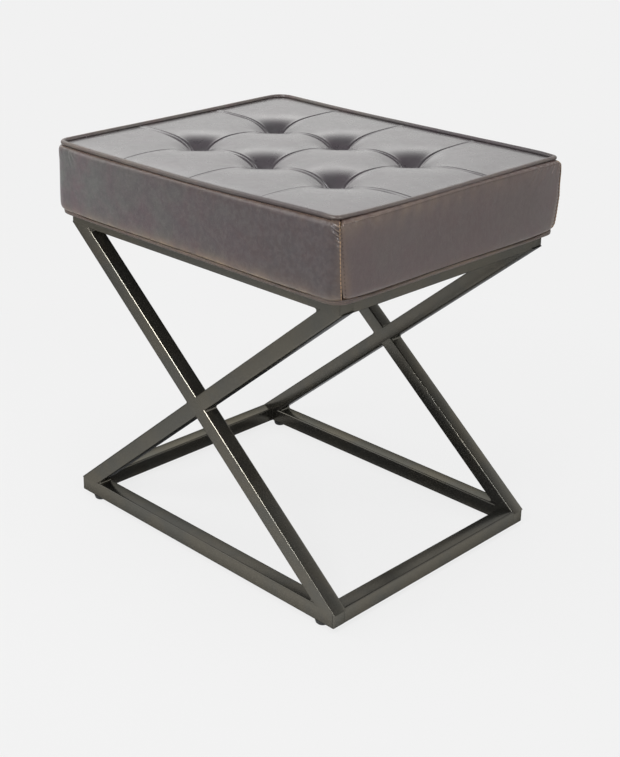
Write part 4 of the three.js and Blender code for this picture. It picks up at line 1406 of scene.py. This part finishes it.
# the soft lamps aren't seen in reflections, and the two bright ones are seen nowhere else
lamps = {
    "overheadLamp": {"place": (0, 0, 2.6), "aim": (0, 0, 0), "size": (2.0, 2.0), "power": 34},
    "frontLamp": {"place": (0.52, -2.1, 2.15), "aim": (0, 0, 0.3), "size": (0.5, 0.7), "power": 30},
    "leftLamp": {"place": (-2.0, -1.15, 1.9), "aim": (0, 0, 0.3), "size": (0.8, 0.8), "power": 16},
    "rightLamp": {"place": (2.3, -0.4, 1.9), "aim": (0, 0, 0.3), "size": (0.8, 0.8), "power": 12},
    "highlightLamp": {"place": (0.52, -2.1, 2.3), "aim": (0, 0, 0.3), "size": (0.7, 1.3), "power": 95,
                      "bright": True},
    "edgeLamp": {"place": (2.57, 0.4, 1.4), "aim": (0.2, -0.15, 0.45), "size": (0.35, 0.35), "power": 25,
                 "bright": True},
}


def makeFloor():
    # seen directly, the floor is as pale as the world, with a part of its real shading near the object;
    # reflections see it with a plain shade where the object stands
    half, pale = studio["floorSize"], studio["pale"]
    points = [(-half, -half, 0), (half, -half, 0), (half, half, 0), (-half, half, 0)]
    material, tree, principled = startMaterial("floorPaint", Roughness=0.9, Specular_IOR_Level=0.0,
                                               Base_Color=(pale, pale, pale, 1))
    glow = addNode(tree, "ShaderNodeEmission", {"Color": (pale, pale, pale, 1)})
    rays = tree.nodes.new("ShaderNodeLightPath")
    place = objectPlace(tree)
    away = addNode(tree, "ShaderNodeVectorMath", operation="LENGTH")
    extents = addNode(tree, "ShaderNodeVectorMath", operation="ABSOLUTE")
    sides = tree.nodes.new("ShaderNodeSeparateXYZ")
    fill(tree, away.inputs[0], place)
    fill(tree, extents.inputs[0], place)
    fill(tree, sides.inputs["Vector"], extents.outputs["Vector"])
    outside = doMath(tree, "MAXIMUM", doMath(tree, "SUBTRACT", sides.outputs["X"], frameHalfX),
                     doMath(tree, "SUBTRACT", sides.outputs["Y"], frameHalfY))
    # painted shade where the object stands, and painted light that is brighter near the object than further off, both
    # seen only in reflections
    shade = multiply(
        tree, mapRange(tree, outside, *studio["shadeReach"], studio["mirroredShade"], 1.0),
        mapRange(tree, outside, *studio["mirroredReach"], studio["mirroredNear"], studio["mirroredFar"]))
    fill(tree, glow.inputs["Strength"], mixValues(tree, rays.outputs["Is Glossy Ray"], 1.0, shade))
    direct = doMath(tree, "MAXIMUM", rays.outputs["Is Camera Ray"], rays.outputs["Is Transmission Ray"])
    share = mapRange(tree, away.outputs["Value"], *studio["shadowReach"], 1 - studio["floorShadow"], 1.0)
    shown = doMath(tree, "MAXIMUM", multiply(tree, direct, share), rays.outputs["Is Glossy Ray"])
    surface = tree.nodes.new("ShaderNodeMixShader")
    fill(tree, surface.inputs[0], shown)
    fill(tree, surface.inputs[1], principled.outputs["BSDF"])
    fill(tree, surface.inputs[2], glow.outputs["Emission"])
    fill(tree, tree.nodes["Material Output"].inputs["Surface"], surface.outputs["Shader"])
    newPiece("floor", points, [(0, 1, 2, 3)], material)


def makeWorld():
    # pale all round to the camera; reflections see it up to the top of a backdrop, below a dark ceiling
    world = bpy.data.worlds.new("studio")
    bpy.context.scene.world = world
    world.use_nodes = True
    tree = world.node_tree
    background = tree.nodes["Background"]
    pale = studio["pale"]
    rays = tree.nodes.new("ShaderNodeLightPath")
    parts = tree.nodes.new("ShaderNodeSeparateXYZ")
    fill(tree, parts.inputs["Vector"], addNode(tree, "ShaderNodeTexCoord").outputs["Generated"])
    across, up = parts.outputs["X"], parts.outputs["Z"]
    mirrored = multiply(tree, mapRange(tree, up, *studio["backdropRise"], studio["backdropLow"], studio["backdropTop"]),
                        mapRange(tree, up, *studio["ceilingRise"], 1.0, studio["ceilingDark"]))
    # the backdrop is narrower further up
    corner = multiply(tree, mapRange(tree, across, *studio["cornerAcross"], 0.0, studio["cornerDark"]),
                      mapRange(tree, up, *studio["cornerUp"], 0.0, 1.0))
    mirrored = multiply(tree, mirrored, doMath(tree, "SUBTRACT", 1.0, corner))
    mirrored = multiply(tree, mirrored, mapRange(tree, across, *studio["leftAcross"], 1.0, studio["leftPart"]))
    tint = mixColours(tree, rays.outputs["Is Glossy Ray"], (pale, pale, pale), studio["backdropTint"])
    fill(tree, background.inputs["Color"], tint)
    strength = mixValues(tree, rays.outputs["Is Glossy Ray"], studio["worldStrength"], mirrored)
    seen = doMath(tree, "MAXIMUM", rays.outputs["Is Camera Ray"], rays.outputs["Is Transmission Ray"])
    fill(tree, background.inputs["Strength"], mixValues(tree, seen, strength, 1.0))


def addLamp(name, place, aim, size, power, bright=False):
    light = bpy.data.lights.new(name, "AREA")
    light.shape = "RECTANGLE"
    light.size, light.size_y = size
    light.energy = power
    lamp = bpy.data.objects.new(name, light)
    bpy.context.scene.collection.objects.link(lamp)
    lamp.location = place
    lamp.rotation_euler = (Vector(aim) - Vector(place)).to_track_quat("-Z", "Y").to_euler()
    lamp.visible_glossy = bright
    lamp.visible_diffuse = not bright


makeFloor()
makeWorld()
for name, settings in lamps.items():
    addLamp(name, **settings)
bpy.context.scene.view_settings.view_transform = "Standard"
print("Studio made")
